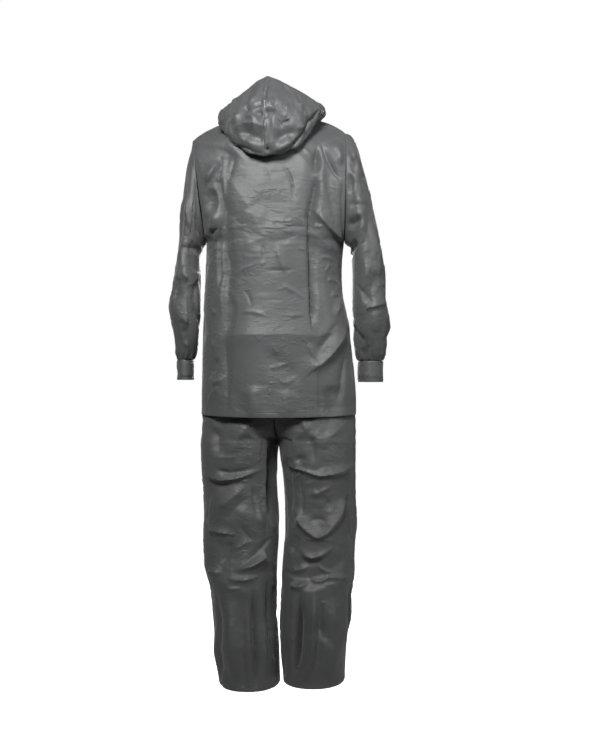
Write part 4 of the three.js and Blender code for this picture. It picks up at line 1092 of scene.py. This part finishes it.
def shell(name, panel, material):
    """A thin closed wall: the outer skin, a sparser inner skin and the edges between them."""
    outer = panel.points()
    rows, columns = outer.shape[:2]
    pick_rows = sparse(rows)
    pick_columns = list(range(0, columns, 2)) if panel.loop else sparse(columns)
    low = lowest_near(panel.rise, panel.loop)
    low[[0, -1]] = panel.rise[[0, -1]]
    if not panel.loop:
        low[:, [0, -1]] = panel.rise[:, [0, -1]]
    depth = (low - panel.thickness)[..., None]
    inner = (panel.base + panel.normals * depth)[np.ix_(pick_rows, pick_columns)]
    points = np.concatenate([outer.reshape(-1, 3), inner.reshape(-1, 3)]) / 1000
    out = lambda j, i: j * columns + i % columns
    wide = len(pick_columns)
    into = lambda j, i: rows * columns + j * wide + i % wide
    faces = []
    cells = columns if panel.loop else columns - 1
    for j in range(rows - 1):
        faces += [(out(j, i), out(j, i + 1), out(j + 1, i + 1), out(j + 1, i)) for i in range(cells)]
    inner_cells = wide if panel.loop else wide - 1
    for j in range(len(pick_rows) - 1):
        faces += [
            (into(j, i), into(j + 1, i), into(j + 1, i + 1), into(j, i + 1)) for i in range(inner_cells)
        ]
    last, end = len(pick_rows) - 1, wide - 1
    for i in range(inner_cells):
        stop = pick_columns[i + 1] if i < end else columns
        run = list(range(pick_columns[i], stop + 1))
        faces.append((*[out(0, c) for c in reversed(run)], into(0, i), into(0, i + 1)))
        faces.append((*[out(rows - 1, c) for c in run], into(last, i + 1), into(last, i)))
    if not panel.loop:
        for j in range(last):
            run = list(range(pick_rows[j], pick_rows[j + 1] + 1))
            faces.append((*[out(r, 0) for r in run], into(j + 1, 0), into(j, 0)))
            faces.append((*[out(r, columns - 1) for r in reversed(run)], into(j, end), into(j + 1, end)))
    if panel.outward < 0:
        faces = [face[::-1] for face in faces]
    mesh = bpy.data.meshes.new(name)
    mesh.from_pydata(points.tolist(), [], faces)
    across, up = lengths_over(panel.base, 1), lengths_over(panel.base, 0)
    flat = np.stack(np.meshgrid(across, up), axis=-1)
    flat = np.concatenate([flat.reshape(-1, 2), flat[np.ix_(pick_rows, pick_columns)].reshape(-1, 2)])
    corners = np.zeros(len(mesh.loops), np.int32)
    mesh.loops.foreach_get("vertex_index", corners)
    mesh.uv_layers.new(name="cloth").data.foreach_set("uv", flat[corners].ravel())
    return finish_piece(name, mesh, material, "suit")


def finish_piece(name, mesh, material, body):
    mesh.shade_smooth()
    mesh.set_sharp_from_angle(angle=math.radians(60))
    mesh.materials.clear()
    mesh.materials.append(material)
    piece = bpy.data.objects.new(name, mesh)
    bpy.context.scene.collection.objects.link(piece)
    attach(piece, body)
    return piece


def new_tree(name, sizes):
    """A Geometry Nodes tree with a line of points in, a mesh out and named sizes."""
    tree = bpy.data.node_groups.new(name, "GeometryNodeTree")
    tree.interface.new_socket("Line", in_out="INPUT", socket_type="NodeSocketGeometry")
    for size in sizes:
        tree.interface.new_socket(size, in_out="INPUT", socket_type="NodeSocketFloat")
    tree.interface.new_socket("Material", in_out="INPUT", socket_type="NodeSocketMaterial")
    tree.interface.new_socket("Mesh", in_out="OUTPUT", socket_type="NodeSocketGeometry")
    return tree, tree.nodes.new("NodeGroupInput"), tree.nodes.new("NodeGroupOutput")


def wire(tree, *links):
    """Joins sockets: a node and its output, then a node and its input."""
    for start, out, finish, into in links:
        tree.links.new(start.outputs[out], finish.inputs[into])


def stitch_tree():
    """Sets a rounded stitch at each step along a line."""
    tree, given, out = new_tree("stitches along a seam", ("Pitch", "Length", "Thread"))
    node = tree.nodes.new
    curve, spaced = node("GeometryNodeMeshToCurve"), node("GeometryNodeResampleCurve")
    spaced.mode = "LENGTH"
    bead, shape = node("GeometryNodeMeshUVSphere"), node("GeometryNodeTransform")
    bead.inputs["Segments"].default_value = 5
    bead.inputs["Rings"].default_value = 3
    bead.inputs["Radius"].default_value = 0.5
    size = node("ShaderNodeCombineXYZ")
    heading, turn = node("GeometryNodeInputTangent"), node("FunctionNodeAlignRotationToVector")
    turn.axis = "X"
    place, real = node("GeometryNodeInstanceOnPoints"), node("GeometryNodeRealizeInstances")
    paint = node("GeometryNodeSetMaterial")
    wire(
        tree,
        (given, "Line", curve, "Mesh"),
        (curve, "Curve", spaced, "Curve"),
        (given, "Pitch", spaced, "Length"),
        (bead, "Mesh", shape, "Geometry"),
        (given, "Length", size, "X"),
        (given, "Thread", size, "Y"),
        (given, "Thread", size, "Z"),
        (size, 0, shape, "Scale"),
        (spaced, "Curve", place, "Points"),
        (shape, "Geometry", place, "Instance"),
        (heading, "Tangent", turn, "Vector"),
        (turn, "Rotation", place, "Rotation"),
        (place, "Instances", real, "Geometry"),
        (real, "Geometry", paint, "Geometry"),
        (given, "Material", paint, "Material"),
        (paint, "Geometry", out, "Mesh"),
    )
    return tree


def tooth_tree():
    """Sets a tooth at each step along the zip, to the left and the right in turn."""
    tree, given, out = new_tree("teeth along a zip", ("Pitch", "Reach", "High", "Wide"))
    node = tree.nodes.new
    curve, spaced = node("GeometryNodeMeshToCurve"), node("GeometryNodeResampleCurve")
    spaced.mode = "LENGTH"
    block, size = node("GeometryNodeMeshCube"), node("ShaderNodeCombineXYZ")
    number, half = node("GeometryNodeInputIndex"), node("ShaderNodeMath")
    half.operation = "MODULO"
    half.inputs[1].default_value = 2
    side, aside = node("ShaderNodeMath"), node("ShaderNodeMath")
    side.operation = "SUBTRACT"
    side.inputs[1].default_value = 0.5
    aside.operation = "MULTIPLY"
    shift, move = node("ShaderNodeCombineXYZ"), node("GeometryNodeSetPosition")
    turn = node("FunctionNodeAlignRotationToVector")
    turn.axis = "Z"
    turn.pivot_axis = "X"
    points = node("GeometryNodeCurveToPoints")
    points.mode = "EVALUATED"
    place, real = node("GeometryNodeInstanceOnPoints"), node("GeometryNodeRealizeInstances")
    paint = node("GeometryNodeSetMaterial")
    wire(
        tree,
        (given, "Line", curve, "Mesh"),
        (curve, "Curve", spaced, "Curve"),
        (given, "Pitch", spaced, "Length"),
        (spaced, "Curve", points, "Curve"),
        (number, "Index", half, 0),
        (half, "Value", side, 0),
        (side, "Value", aside, 0),
        (given, "Reach", aside, 1),
        (aside, "Value", shift, "X"),
        (points, "Points", move, "Geometry"),
        (shift, 0, move, "Offset"),
        (given, "Reach", size, "X"),
        (given, "High", size, "Y"),
        (given, "Wide", size, "Z"),
        (size, 0, block, "Size"),
        (points, "Tangent", turn, "Vector"),
        (move, "Geometry", place, "Points"),
        (block, "Mesh", place, "Instance"),
        (turn, "Rotation", place, "Rotation"),
        (place, "Instances", real, "Geometry"),
        (real, "Geometry", paint, "Geometry"),
        (given, "Material", paint, "Material"),
        (paint, "Geometry", out, "Mesh"),
    )
    return tree


def repeated(name, lines, tree, sizes, material, body="suit"):
    """What a tree sets along lines of points, as a plain mesh."""
    guide = bpy.data.meshes.new(name + "_line")
    points, edges = [], []
    for line in lines:
        edges += [(len(points) + k, len(points) + k + 1) for k in range(len(line) - 1)]
        points += (line / 1000).tolist()
    guide.from_pydata(points, edges, [])
    maker = bpy.data.objects.new(name + "_guide", guide)
    bpy.context.scene.collection.objects.link(maker)
    modifier = maker.modifiers.new("repeat", "NODES")
    modifier.node_group = tree
    sockets = {s.name: s.identifier for s in tree.interface.items_tree if s.in_out == "INPUT"}
    for label, value in sizes.items():
        modifier[sockets[label]] = value / 1000
    modifier[sockets["Material"]] = material
    shown = maker.evaluated_get(bpy.context.evaluated_depsgraph_get())
    mesh = bpy.data.meshes.new_from_object(shown)
    mesh.name = name
    bpy.data.objects.remove(maker)
    bpy.data.meshes.remove(guide)
    return finish_piece(name, mesh, material, body)


# Finishes


def shader_group(name, inputs, outputs):
    group = bpy.data.node_groups.new(name, "ShaderNodeTree")
    for label, kind, value in inputs:
        socket = group.interface.new_socket(label, in_out="INPUT", socket_type=kind)
        socket.default_value = value
    for label, kind in outputs:
        group.interface.new_socket(label, in_out="OUTPUT", socket_type=kind)
    return group, group.nodes.new("NodeGroupInput"), group.nodes.new("NodeGroupOutput")


def math_node(tree, operation, first, second):
    node = tree.nodes.new("ShaderNodeMath")
    node.operation = operation
    for socket, value in zip(node.inputs, (first, second)):
        if isinstance(value, (int, float)):
            socket.default_value = value
        else:
            tree.links.new(value, socket)
    return node.outputs["Value"]


def noise(tree, place, scale, detail):
    node = tree.nodes.new("ShaderNodeTexNoise")
    node.inputs["Scale"].default_value = scale
    node.inputs["Detail"].default_value = detail
    tree.links.new(place, node.inputs["Vector"])
    return node


def thread_group():
    """Plain weave: threads over and under each other, in the cloth's own directions."""
    number = "NodeSocketFloat"
    group, given, out = shader_group(
        "plain weave", [("Threads", number, 1600.0)], [("Height", number), ("Shade", number)],
    )
    uv = group.nodes.new("ShaderNodeUVMap")
    uv.uv_map = "cloth"
    parts = group.nodes.new("ShaderNodeSeparateXYZ")
    group.links.new(uv.outputs["UV"], parts.inputs[0])
    waves = []
    for axis in ("X", "Y"):
        angle = math_node(group, "MULTIPLY", parts.outputs[axis], given.outputs["Threads"])
        turn = math_node(group, "MULTIPLY", angle, math.pi)
        waves.append(math_node(group, "SINE", turn, 0))
    group.links.new(math_node(group, "MULTIPLY", *waves), out.inputs["Height"])
    group.links.new(noise(group, uv.outputs["UV"], 240, 3).outputs["Fac"], out.inputs["Shade"])
    return group


def rumple_group():
    """Small wrinkles of thin coated cloth, too fine for the mesh."""
    number = "NodeSocketFloat"
    group, given, out = shader_group(
        "small wrinkles", [("Scale", number, 55.0), ("Sharpness", number, 0.6)],
        [("Height", number), ("Patches", number)],
    )
    place = group.nodes.new("ShaderNodeTexCoord").outputs["Object"]
    stretch = group.nodes.new("ShaderNodeMapping")
    stretch.inputs["Scale"].default_value = (1, 1, 1.7)
    group.links.new(place, stretch.inputs["Vector"])
    wrinkle = noise(group, stretch.outputs[0], 55, 2.5)
    wrinkle.noise_type = "RIDGED_MULTIFRACTAL"
    wrinkle.inputs["Roughness"].default_value = 0.45
    wrinkle.inputs["Distortion"].default_value = 0.7
    group.links.new(given.outputs["Scale"], wrinkle.inputs["Scale"])
    patches = noise(group, place, 9, 2)
    spread = group.nodes.new("ShaderNodeMapRange")
    spread.inputs["From Min"].default_value = 0.38
    spread.inputs["From Max"].default_value = 0.66
    group.links.new(patches.outputs["Fac"], spread.inputs["Value"])
    height = math_node(group, "MULTIPLY", wrinkle.outputs["Fac"], spread.outputs["Result"])
    height = math_node(group, "MULTIPLY", height, given.outputs["Sharpness"])
    group.links.new(height, out.inputs["Height"])
    group.links.new(spread.outputs["Result"], out.inputs["Patches"])
    return group


WEAVE = thread_group()
WRINKLES = rumple_group()


def new_material(name, color, roughness, metallic=0.0):
    material = bpy.data.materials.new(name)
    material.use_nodes = True
    shader = material.node_tree.nodes["Principled BSDF"]
    shader.inputs["Base Color"].default_value = (*color, 1)
    shader.inputs["Roughness"].default_value = roughness
    shader.inputs["Metallic"].default_value = metallic
    return material, material.node_tree, shader


def placed_group(tree, group, **values):
    node = tree.nodes.new("ShaderNodeGroup")
    node.node_tree = group
    for label, value in values.items():
        node.inputs[label].default_value = value
    return node


def bump(tree, height, distance, strength=1.0, normal=None):
    node = tree.nodes.new("ShaderNodeBump")
    node.inputs["Distance"].default_value = distance
    node.inputs["Strength"].default_value = strength
    tree.links.new(height, node.inputs["Height"])
    if normal is not None:
        tree.links.new(normal, node.inputs["Normal"])
    return node.outputs["Normal"]


def ranged(tree, value, low, high):
    node = tree.nodes.new("ShaderNodeMapRange")
    node.inputs["To Min"].default_value = low
    node.inputs["To Max"].default_value = high
    tree.links.new(value, node.inputs["Value"])
    return node.outputs["Result"]


def tinted(tree, value, color, down, up):
    """A colour that goes from a darker to a lighter tone of itself."""
    node = tree.nodes.new("ShaderNodeMix")
    node.data_type = "RGBA"
    node.inputs[6].default_value = (*[c * down for c in color], 1)
    node.inputs[7].default_value = (*[c * up for c in color], 1)
    tree.links.new(value, node.inputs[0])
    return node.outputs[2]


def coated_cloth():
    material, tree, shader = new_material("coated_cloth", CLOTH_GREY, CLOTH_ROUGHNESS)
    shader.inputs["Specular IOR Level"].default_value = CLOTH_SPECULAR
    shader.inputs["Sheen Weight"].default_value = CLOTH_SHEEN
    shader.inputs["Sheen Roughness"].default_value = 0.45
    weave = placed_group(tree, WEAVE, Threads=1600.0)
    rumple = placed_group(tree, WRINKLES, Scale=55.0, Sharpness=0.8)
    tone = tinted(tree, weave.outputs["Shade"], CLOTH_GREY, 0.93, 1.07)
    tree.links.new(tone, shader.inputs["Base Color"])
    rough = ranged(tree, rumple.outputs["Patches"], CLOTH_ROUGHNESS - 0.04, CLOTH_ROUGHNESS + 0.05)
    tree.links.new(rough, shader.inputs["Roughness"])
    normal = bump(tree, rumple.outputs["Height"], 0.0026)
    normal = bump(tree, weave.outputs["Height"], 0.00006, 0.6, normal)
    tree.links.new(normal, shader.inputs["Normal"])
    return material


def woven_tape():
    material, tree, shader = new_material("zip_tape", TAPE_GREY, 0.85)
    weave = placed_group(tree, WEAVE, Threads=900.0)
    tone = tinted(tree, weave.outputs["Shade"], TAPE_GREY, 0.8, 1.15)
    tree.links.new(tone, shader.inputs["Base Color"])
    tree.links.new(bump(tree, weave.outputs["Height"], 0.00015), shader.inputs["Normal"])
    return material


def noisy_finish(name, color, roughness, metallic, scale, depth):
    """A finish with a fine uneven surface, such as thread, moulded plastic or enamel."""
    material, tree, shader = new_material(name, color, roughness, metallic)
    place = tree.nodes.new("ShaderNodeTexCoord").outputs["Object"]
    grain = noise(tree, place, scale, 4)
    rough = ranged(tree, grain.outputs["Fac"], roughness - 0.1, roughness + 0.1)
    tree.links.new(rough, shader.inputs["Roughness"])
    tree.links.new(bump(tree, grain.outputs["Fac"], depth), shader.inputs["Normal"])
    tree.links.new(tinted(tree, grain.outputs["Fac"], color, 0.85, 1.15), shader.inputs["Base Color"])
    return material


CLOTH_GREY = (0.118, 0.12, 0.122)
CLOTH_ROUGHNESS = 0.48
CLOTH_SPECULAR = 0.6
CLOTH_SHEEN = 0.2
TAPE_GREY = (0.045, 0.046, 0.048)
THREAD_GREY = (0.1, 0.101, 0.103)

cloth = coated_cloth()
tape_cloth = woven_tape()
thread = noisy_finish("thread", THREAD_GREY, 0.7, 0.0, 900, 0.0001)
teeth_finish = noisy_finish("zip_teeth", (0.1, 0.1, 0.105), 0.4, 0.0, 700, 0.00005)
enamel = noisy_finish("zip_enamel", (0.19, 0.195, 0.2), 0.32, 0.9, 500, 0.00008)


# The suit


def everywhere(panel):
    return np.ones(panel.base.shape[:2], bool)


def facing(panel, face):
    """The part of a sleeve that is seen from behind or from the front."""
    return panel.normals[..., 1] * face > 0.05


def outer_half(panel):
    """The part of the hood from its fold up to the brim, where it faces back."""
    mask = np.zeros(panel.base.shape[:2], bool)
    mask[:, panel.base.shape[1] // 2:] = True
    return mask & (panel.normals[..., 1] < -0.1)


SIDES = ("left", "right")
armholes = {side: armhole_curve(side) for side in SIDES}
turns = np.linspace(0, math.pi / 2, 40)
neckline = np.concatenate([
    neck_point(sign * np.sin(turns), face * np.cos(turns), 0, neck_height(turns, face))
    for sign in (-1, 1) for face in (-1, 1)
])

back = jacket_back_panel()
fronts = {side: jacket_front_panel(side) for side in SIDES}
sleeves = {side: sleeve_panel(side) for side in SIDES}
cuffs = {side: cuff_panel(side) for side in SIDES}
tabs = {side: cuff_tab_panel(side) for side in SIDES}
hoods = {side: hood_panel(side) for side in SIDES}
legs = {(side, face): leg_panel(side, face) for side in SIDES for face in (-1, 1)}
band = waistband_panel()
tapes = {side: tape_panel(side, fronts[side]) for side in SIDES}
body = [back, *fronts.values()]

for panel in body:
    for curve in armholes.values():
        panel.fade_from(curve, 16)
    panel.fade_from(neckline, 12)
for side in SIDES:
    fronts[side].fade_from(fronts[side].base[:, 0], 34)
    sleeves[side].fade_from(armholes[side], 16)
    sleeves[side].fade_from(sleeves[side].base[-1], 12)
    hoods[side].fade_from(neckline, 14)

# How much deeper the creases are than in their tables: behind, and in front
SLEEVE_DEPTHS = LEG_DEPTHS = (1.7, 1.5)
BACK_FOLD_DEPTH, BACK_DEPTH, HOOD_DEPTH = 1.3, 1.7, 1.2
# Height and size of the flat facets, and of the wrinkles between them
FACETS = {"body": (5.5, 58), "sleeve": (7, 44), "leg": (7.5, 58), "cuff": (3.5, 26)}
HOOD_FACETS = ((5, 26, 31), (3, 13, 33))
LEAN_FROM, LEAN_OVER, LEAN_IN = -478, 215, 12

lay_creases(rows_of(BACK_FOLDS), [(back, everywhere(back))], body, BACK_FOLD_DEPTH)
lay_creases(rows_of(BACK_CREASES), [(back, everywhere(back))], body, BACK_DEPTH)
lay_creases(rows_of(FRONT_CREASES), [(fronts[side], everywhere(fronts[side])) for side in SIDES], body)
for k, panel in enumerate(body):
    middle = np.exp(-((panel.base[..., 0] / 75) ** 2)) if panel is back else 0
    facets(panel, *FACETS["body"], 41 + k, (1 - 0.75 * middle) * (1 - 0.7 * above_hem(panel)))
crumple(body, 1.2, 28, 13, stretch=(1.4, 1, 0.6))
crumple(body, 0.45, 12, 19, stretch=(1.6, 1, 0.6))
for side, behind, before in (
    ("left", SLEEVE_LEFT_CREASES, SLEEVE_LEFT_FRONT_CREASES),
    ("right", SLEEVE_RIGHT_CREASES, SLEEVE_RIGHT_FRONT_CREASES),
):
    sleeve = sleeves[side]
    lay_creases(rows_of(behind), [(sleeve, facing(sleeve, -1))], [sleeve], SLEEVE_DEPTHS[0])
    lay_creases(rows_of(before), [(sleeve, facing(sleeve, 1))], [sleeve], SLEEVE_DEPTHS[1])
    facets(sleeve, *FACETS["sleeve"], 5 if side == "left" else 6)
    crumple([sleeve], 1.8, 24, 15)
    crumple([sleeve], 0.6, 11, 23)
for side, behind, before in (
    ("left", LEG_LEFT_CREASES, LEG_LEFT_FRONT_CREASES),
    ("right", LEG_RIGHT_CREASES, LEG_RIGHT_FRONT_CREASES),
):
    pair = [legs[side, -1], legs[side, 1]]
    lay_creases(rows_of(behind), [(pair[0], everywhere(pair[0]))], pair, LEG_DEPTHS[0])
    lay_creases(rows_of(before), [(pair[1], everywhere(pair[1]))], pair, LEG_DEPTHS[1])
    for k, leg in enumerate(pair):
        facets(leg, *FACETS["leg"], 51 + k + 2 * SIDES.index(side))
    crumple(pair, 1.6, 28, 17)
    crumple(pair, 0.6, 12, 29)
for side in SIDES:
    hood = hoods[side]
    seen = [(hoods[s], outer_half(hoods[s])) for s in SIDES]
    lay_creases(rows_of(HOOD_CREASES), seen, [hood], HOOD_DEPTH)
    for height, width, seed in HOOD_FACETS:
        facets(hood, height, width, seed)
    crumple([hood], 1.1, 17, 37, stretch=(1, 1, 0.7))
    crumple([hood], 0.5, 9, 71, stretch=(0.8, 1, 1.2))

# Below its cross crease the back leans in
lean = smooth((LEAN_FROM - back.base[..., 2]) / LEAN_OVER) ** 0.8
lean *= np.exp(-((back.base[..., 0] / 145) ** 6))
back.rise -= LEAN_IN * lean

# Folds stay clear of the piece beside them
for panel in body:
    hold_clear(panel, (np.abs(panel.normals[..., 0]) > 0.8) & (panel.base[..., 2] < -150), 0.8)
for side, sign in (("left", 1), ("right", -1)):
    sleeve = sleeves[side]
    hold_clear(sleeve, sleeve.normals[..., 0] * sign > 0.35, 0.6)
    for face in (-1, 1):
        leg = legs[side, face]
        hold_clear(leg, leg.normals[..., 0] * sign > 0.6, 0.6)
        hold_clear(leg, leg.base[..., 2] > -680, 1.0)

# Seams and hems
for panel in body:
    panel.turn_up(0, False, 13)
    panel.tuck_edge(0, True)
back.tuck_edge(1, False)
back.tuck_edge(1, True)
for side in SIDES:
    front, sleeve, cuff, tab, hood = fronts[side], sleeves[side], cuffs[side], tabs[side], hoods[side]
    front.tuck_edge(1, True)
    front.turn_up(1, False, 9)
    front.thickness[:, :12] = CAD_CLOTH  # the zip lies behind these columns
    sleeve.tuck_edge(0, False)
    sleeve.tuck_edge(0, True)
    around = np.linspace(0, 2 * math.pi, sleeve.base.shape[1], endpoint=False)
    pleats = np.sin(13 * around + 1.4 * np.sin(3 * around)) + 0.6 * np.sin(22 * around + 2)
    low = sleeve.from_edge(0, True)
    sleeve.rise += 1.5 * pleats * np.exp(-(((low - 11) / 13) ** 2)) * smooth(low / 5)
    cuff.tuck_edge(0, False, 0.6)
    cuff.tuck_edge(0, True)
    facets(cuff, *FACETS["cuff"], 47)
    crumple([cuff], 1.2, 16, 43)
    cuff.rise = np.minimum(cuff.rise, 0.9)
    cuff.thickness[:] = CAD_CLOTH
    tab.thickness[:] = CAD_CLOTH
    hood.rise += 0.9 * (1 - smooth((hood.from_edge(0) - 5.5) / 1.2))
    hood.tuck_edge(0, False)
    hood.tuck_edge(1, False, 0.5)
    hood.turn_up(1, True, 16)
    for face in (-1, 1):
        leg = legs[side, face]
        leg.turn_up(0, False, 13)
        leg.tuck_edge(0, True, 0.5)
        leg.tuck_edge(1, False)
        leg.tuck_edge(1, True)
gather = np.linspace(0, 2 * math.pi * 96, band.base.shape[1], endpoint=False)
band.rise += 1.1 * (np.sin(gather) - 1) * smooth(np.minimum(band.from_edge(0), band.from_edge(0, True)) / 9)

panels = {"jacket_back": back, "waistband": band}
for side in SIDES:
    panels |= {
        f"jacket_front_{side}": fronts[side], f"sleeve_{side}": sleeves[side],
        f"cuff_{side}": cuffs[side], f"cuff_tab_{side}": tabs[side], f"hood_{side}": hoods[side],
        f"trouser_back_{side}": legs[side, -1], f"trouser_front_{side}": legs[side, 1],
        f"zip_tape_{side}": tapes[side],
    }

# Flat sizes of the cuts, width and length, and their areas, in metres
CUTS = {
    "jacket_back": (0.50, 0.73, 0.335), "jacket_front": (0.27, 0.73, 0.165),
    "sleeve": (0.46, 0.56, 0.165), "cuff": (0.24, 0.05, None), "cuff_tab": (0.065, 0.028, None),
    "hood": (0.42, 0.20, 0.058), "trouser_back": (0.36, 0.94, 0.25), "trouser_front": (0.36, 0.94, 0.25),
    "waistband": (0.76, 0.038, None), "zip_tape": (0.018, 0.65, None),
}
for name, panel in panels.items():
    kind = name.removesuffix("_left").removesuffix("_right")
    is_tape = kind == "zip_tape"
    piece = shell(f"cloth_{name}", panel, tape_cloth if is_tape else cloth)
    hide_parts(name)
    width, length, area = CUTS[kind]


def row_at(panel, axis, last, distance):
    """The line of points nearest to a distance from an edge, on the outside of the cloth."""
    far = panel.from_edge(axis, last).mean(axis=1 - axis)
    k = int(np.abs(far - distance).argmin())
    points = panel.points(0.12)
    line = points[k] if axis == 0 else points[:, k]
    return np.concatenate([line, line[:1]]) if panel.loop and axis == 0 else line


seams = [row_at(panel, 0, False, HEM_ROW) for panel in body]
for side in SIDES:
    front, cuff, tab, hood = fronts[side], cuffs[side], tabs[side], hoods[side]
    seams += [row_at(front, 1, False, 7.6), row_at(cuff, 0, False, 3.2), row_at(cuff, 0, True, 3.2)]
    seams += [row_at(tab, 0, False, 2.4), row_at(tab, 0, True, 2.4), row_at(tab, 1, True, 2.4)]
    seams += [row_at(hood, 0, False, SEAM_ROW), row_at(hood, 1, True, 14.4)]
    seams += [row_at(sleeves[side], 0, False, SEAM_ROW)]
trouser_seams = [row_at(leg, 0, False, HEM_ROW) for leg in legs.values()]
STITCH = {"Pitch": 2.8, "Length": 2.1, "Thread": 0.42}
stitches = stitch_tree()
for name, lines in (("jacket_stitches", seams), ("trouser_stitches", trouser_seams)):
    piece = repeated(name, lines, stitches, STITCH, thread)

chain = tapes["left"].base[:, 0] + tapes["left"].normals[:, 0] * TOOTH["high"] * 0.45
chain[:, 0] += SEAM / 2
sizes = {"Pitch": TOOTH["pitch"] / 2, "Reach": TOOTH["reach"], "High": TOOTH["high"], "Wide": TOOTH["wide"]}
piece = repeated("zip_teeth", [chain], tooth_tree(), sizes, teeth_finish)

for node, finish in (("zip_slider", enamel), ("zip_pull_tab", enamel)):
    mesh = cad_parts[node].data
    mesh.materials.clear()
    mesh.materials.append(finish)

# Camera, floor and light
CAMERA = (0.05405, -3.6, -0.5828)
VIEW_HEIGHT = 1.767  # what the camera sees from top to bottom at the suit
FLOOR_Z = -1.443     # 132 mm below the trouser hems
FLOOR_HALF = 9
view = bpy.data.cameras.new("camera")
view.sensor_fit = "VERTICAL"
view.sensor_height = 36
view.lens = view.sensor_height * -CAMERA[1] / VIEW_HEIGHT
camera = bpy.data.objects.new("camera", view)
camera.location = CAMERA
camera.rotation_euler = (math.pi / 2, 0, 0)
bpy.context.scene.collection.objects.link(camera)
bpy.context.scene.camera = camera

floor_mesh = bpy.data.meshes.new("floor")
corners = [(-1, -1), (1, -1), (1, 1), (-1, 1)]
floor_mesh.from_pydata([(x * FLOOR_HALF, y * FLOOR_HALF, FLOOR_Z) for x, y in corners], [], [(0, 1, 2, 3)])
pale, pale_tree, pale_shader = new_material("pale_floor", (0.4, 0.4, 0.4), 0.7)
seen_only = pale_tree.nodes.new("ShaderNodeLightPath")
pale_shader.inputs["Emission Color"].default_value = (1, 1, 1, 1)
pale_tree.links.new(seen_only.outputs["Is Camera Ray"], pale_shader.inputs["Emission Strength"])
floor_mesh.materials.append(pale)
floor = bpy.data.objects.new("floor", floor_mesh)
bpy.context.scene.collection.objects.link(floor)


def area_light(name, place, target, size, power, spread):
    light = bpy.data.lights.new(name, "AREA")
    light.size = size
    light.energy = power
    light.spread = math.radians(spread)
    lamp = bpy.data.objects.new(name, light)
    lamp.location = place
    lamp.rotation_euler = (Vector(target) - Vector(place)).to_track_quat("-Z", "Y").to_euler()
    bpy.context.scene.collection.objects.link(lamp)


AIR_LIGHT = 0.08
area_light("key", (-0.35, -2.2, 1.15), (0.03, 0, -0.15), 0.8, 7.5, 56)
area_light("side", (2.3, -1.9, 0.7), (0.1, 0, -0.2), 0.9, 2.6, 60)
area_light("front", (0.1, 3.0, 0.1), (0, 0, -0.5), 1.4, 100, 180)
world = bpy.data.worlds.new("studio")
world.use_nodes = True
air = world.node_tree.nodes["Background"]
air.inputs["Color"].default_value = (1, 1, 1, 1)
sight = world.node_tree.nodes.new("ShaderNodeLightPath")
strength = world.node_tree.nodes.new("ShaderNodeMix")
strength.inputs["A"].default_value = AIR_LIGHT
strength.inputs["B"].default_value = 1
world.node_tree.links.new(sight.outputs["Is Camera Ray"], strength.inputs["Factor"])
world.node_tree.links.new(strength.outputs["Result"], air.inputs["Strength"])
bpy.context.scene.world = world
bpy.context.scene.view_settings.view_transform = "Standard"
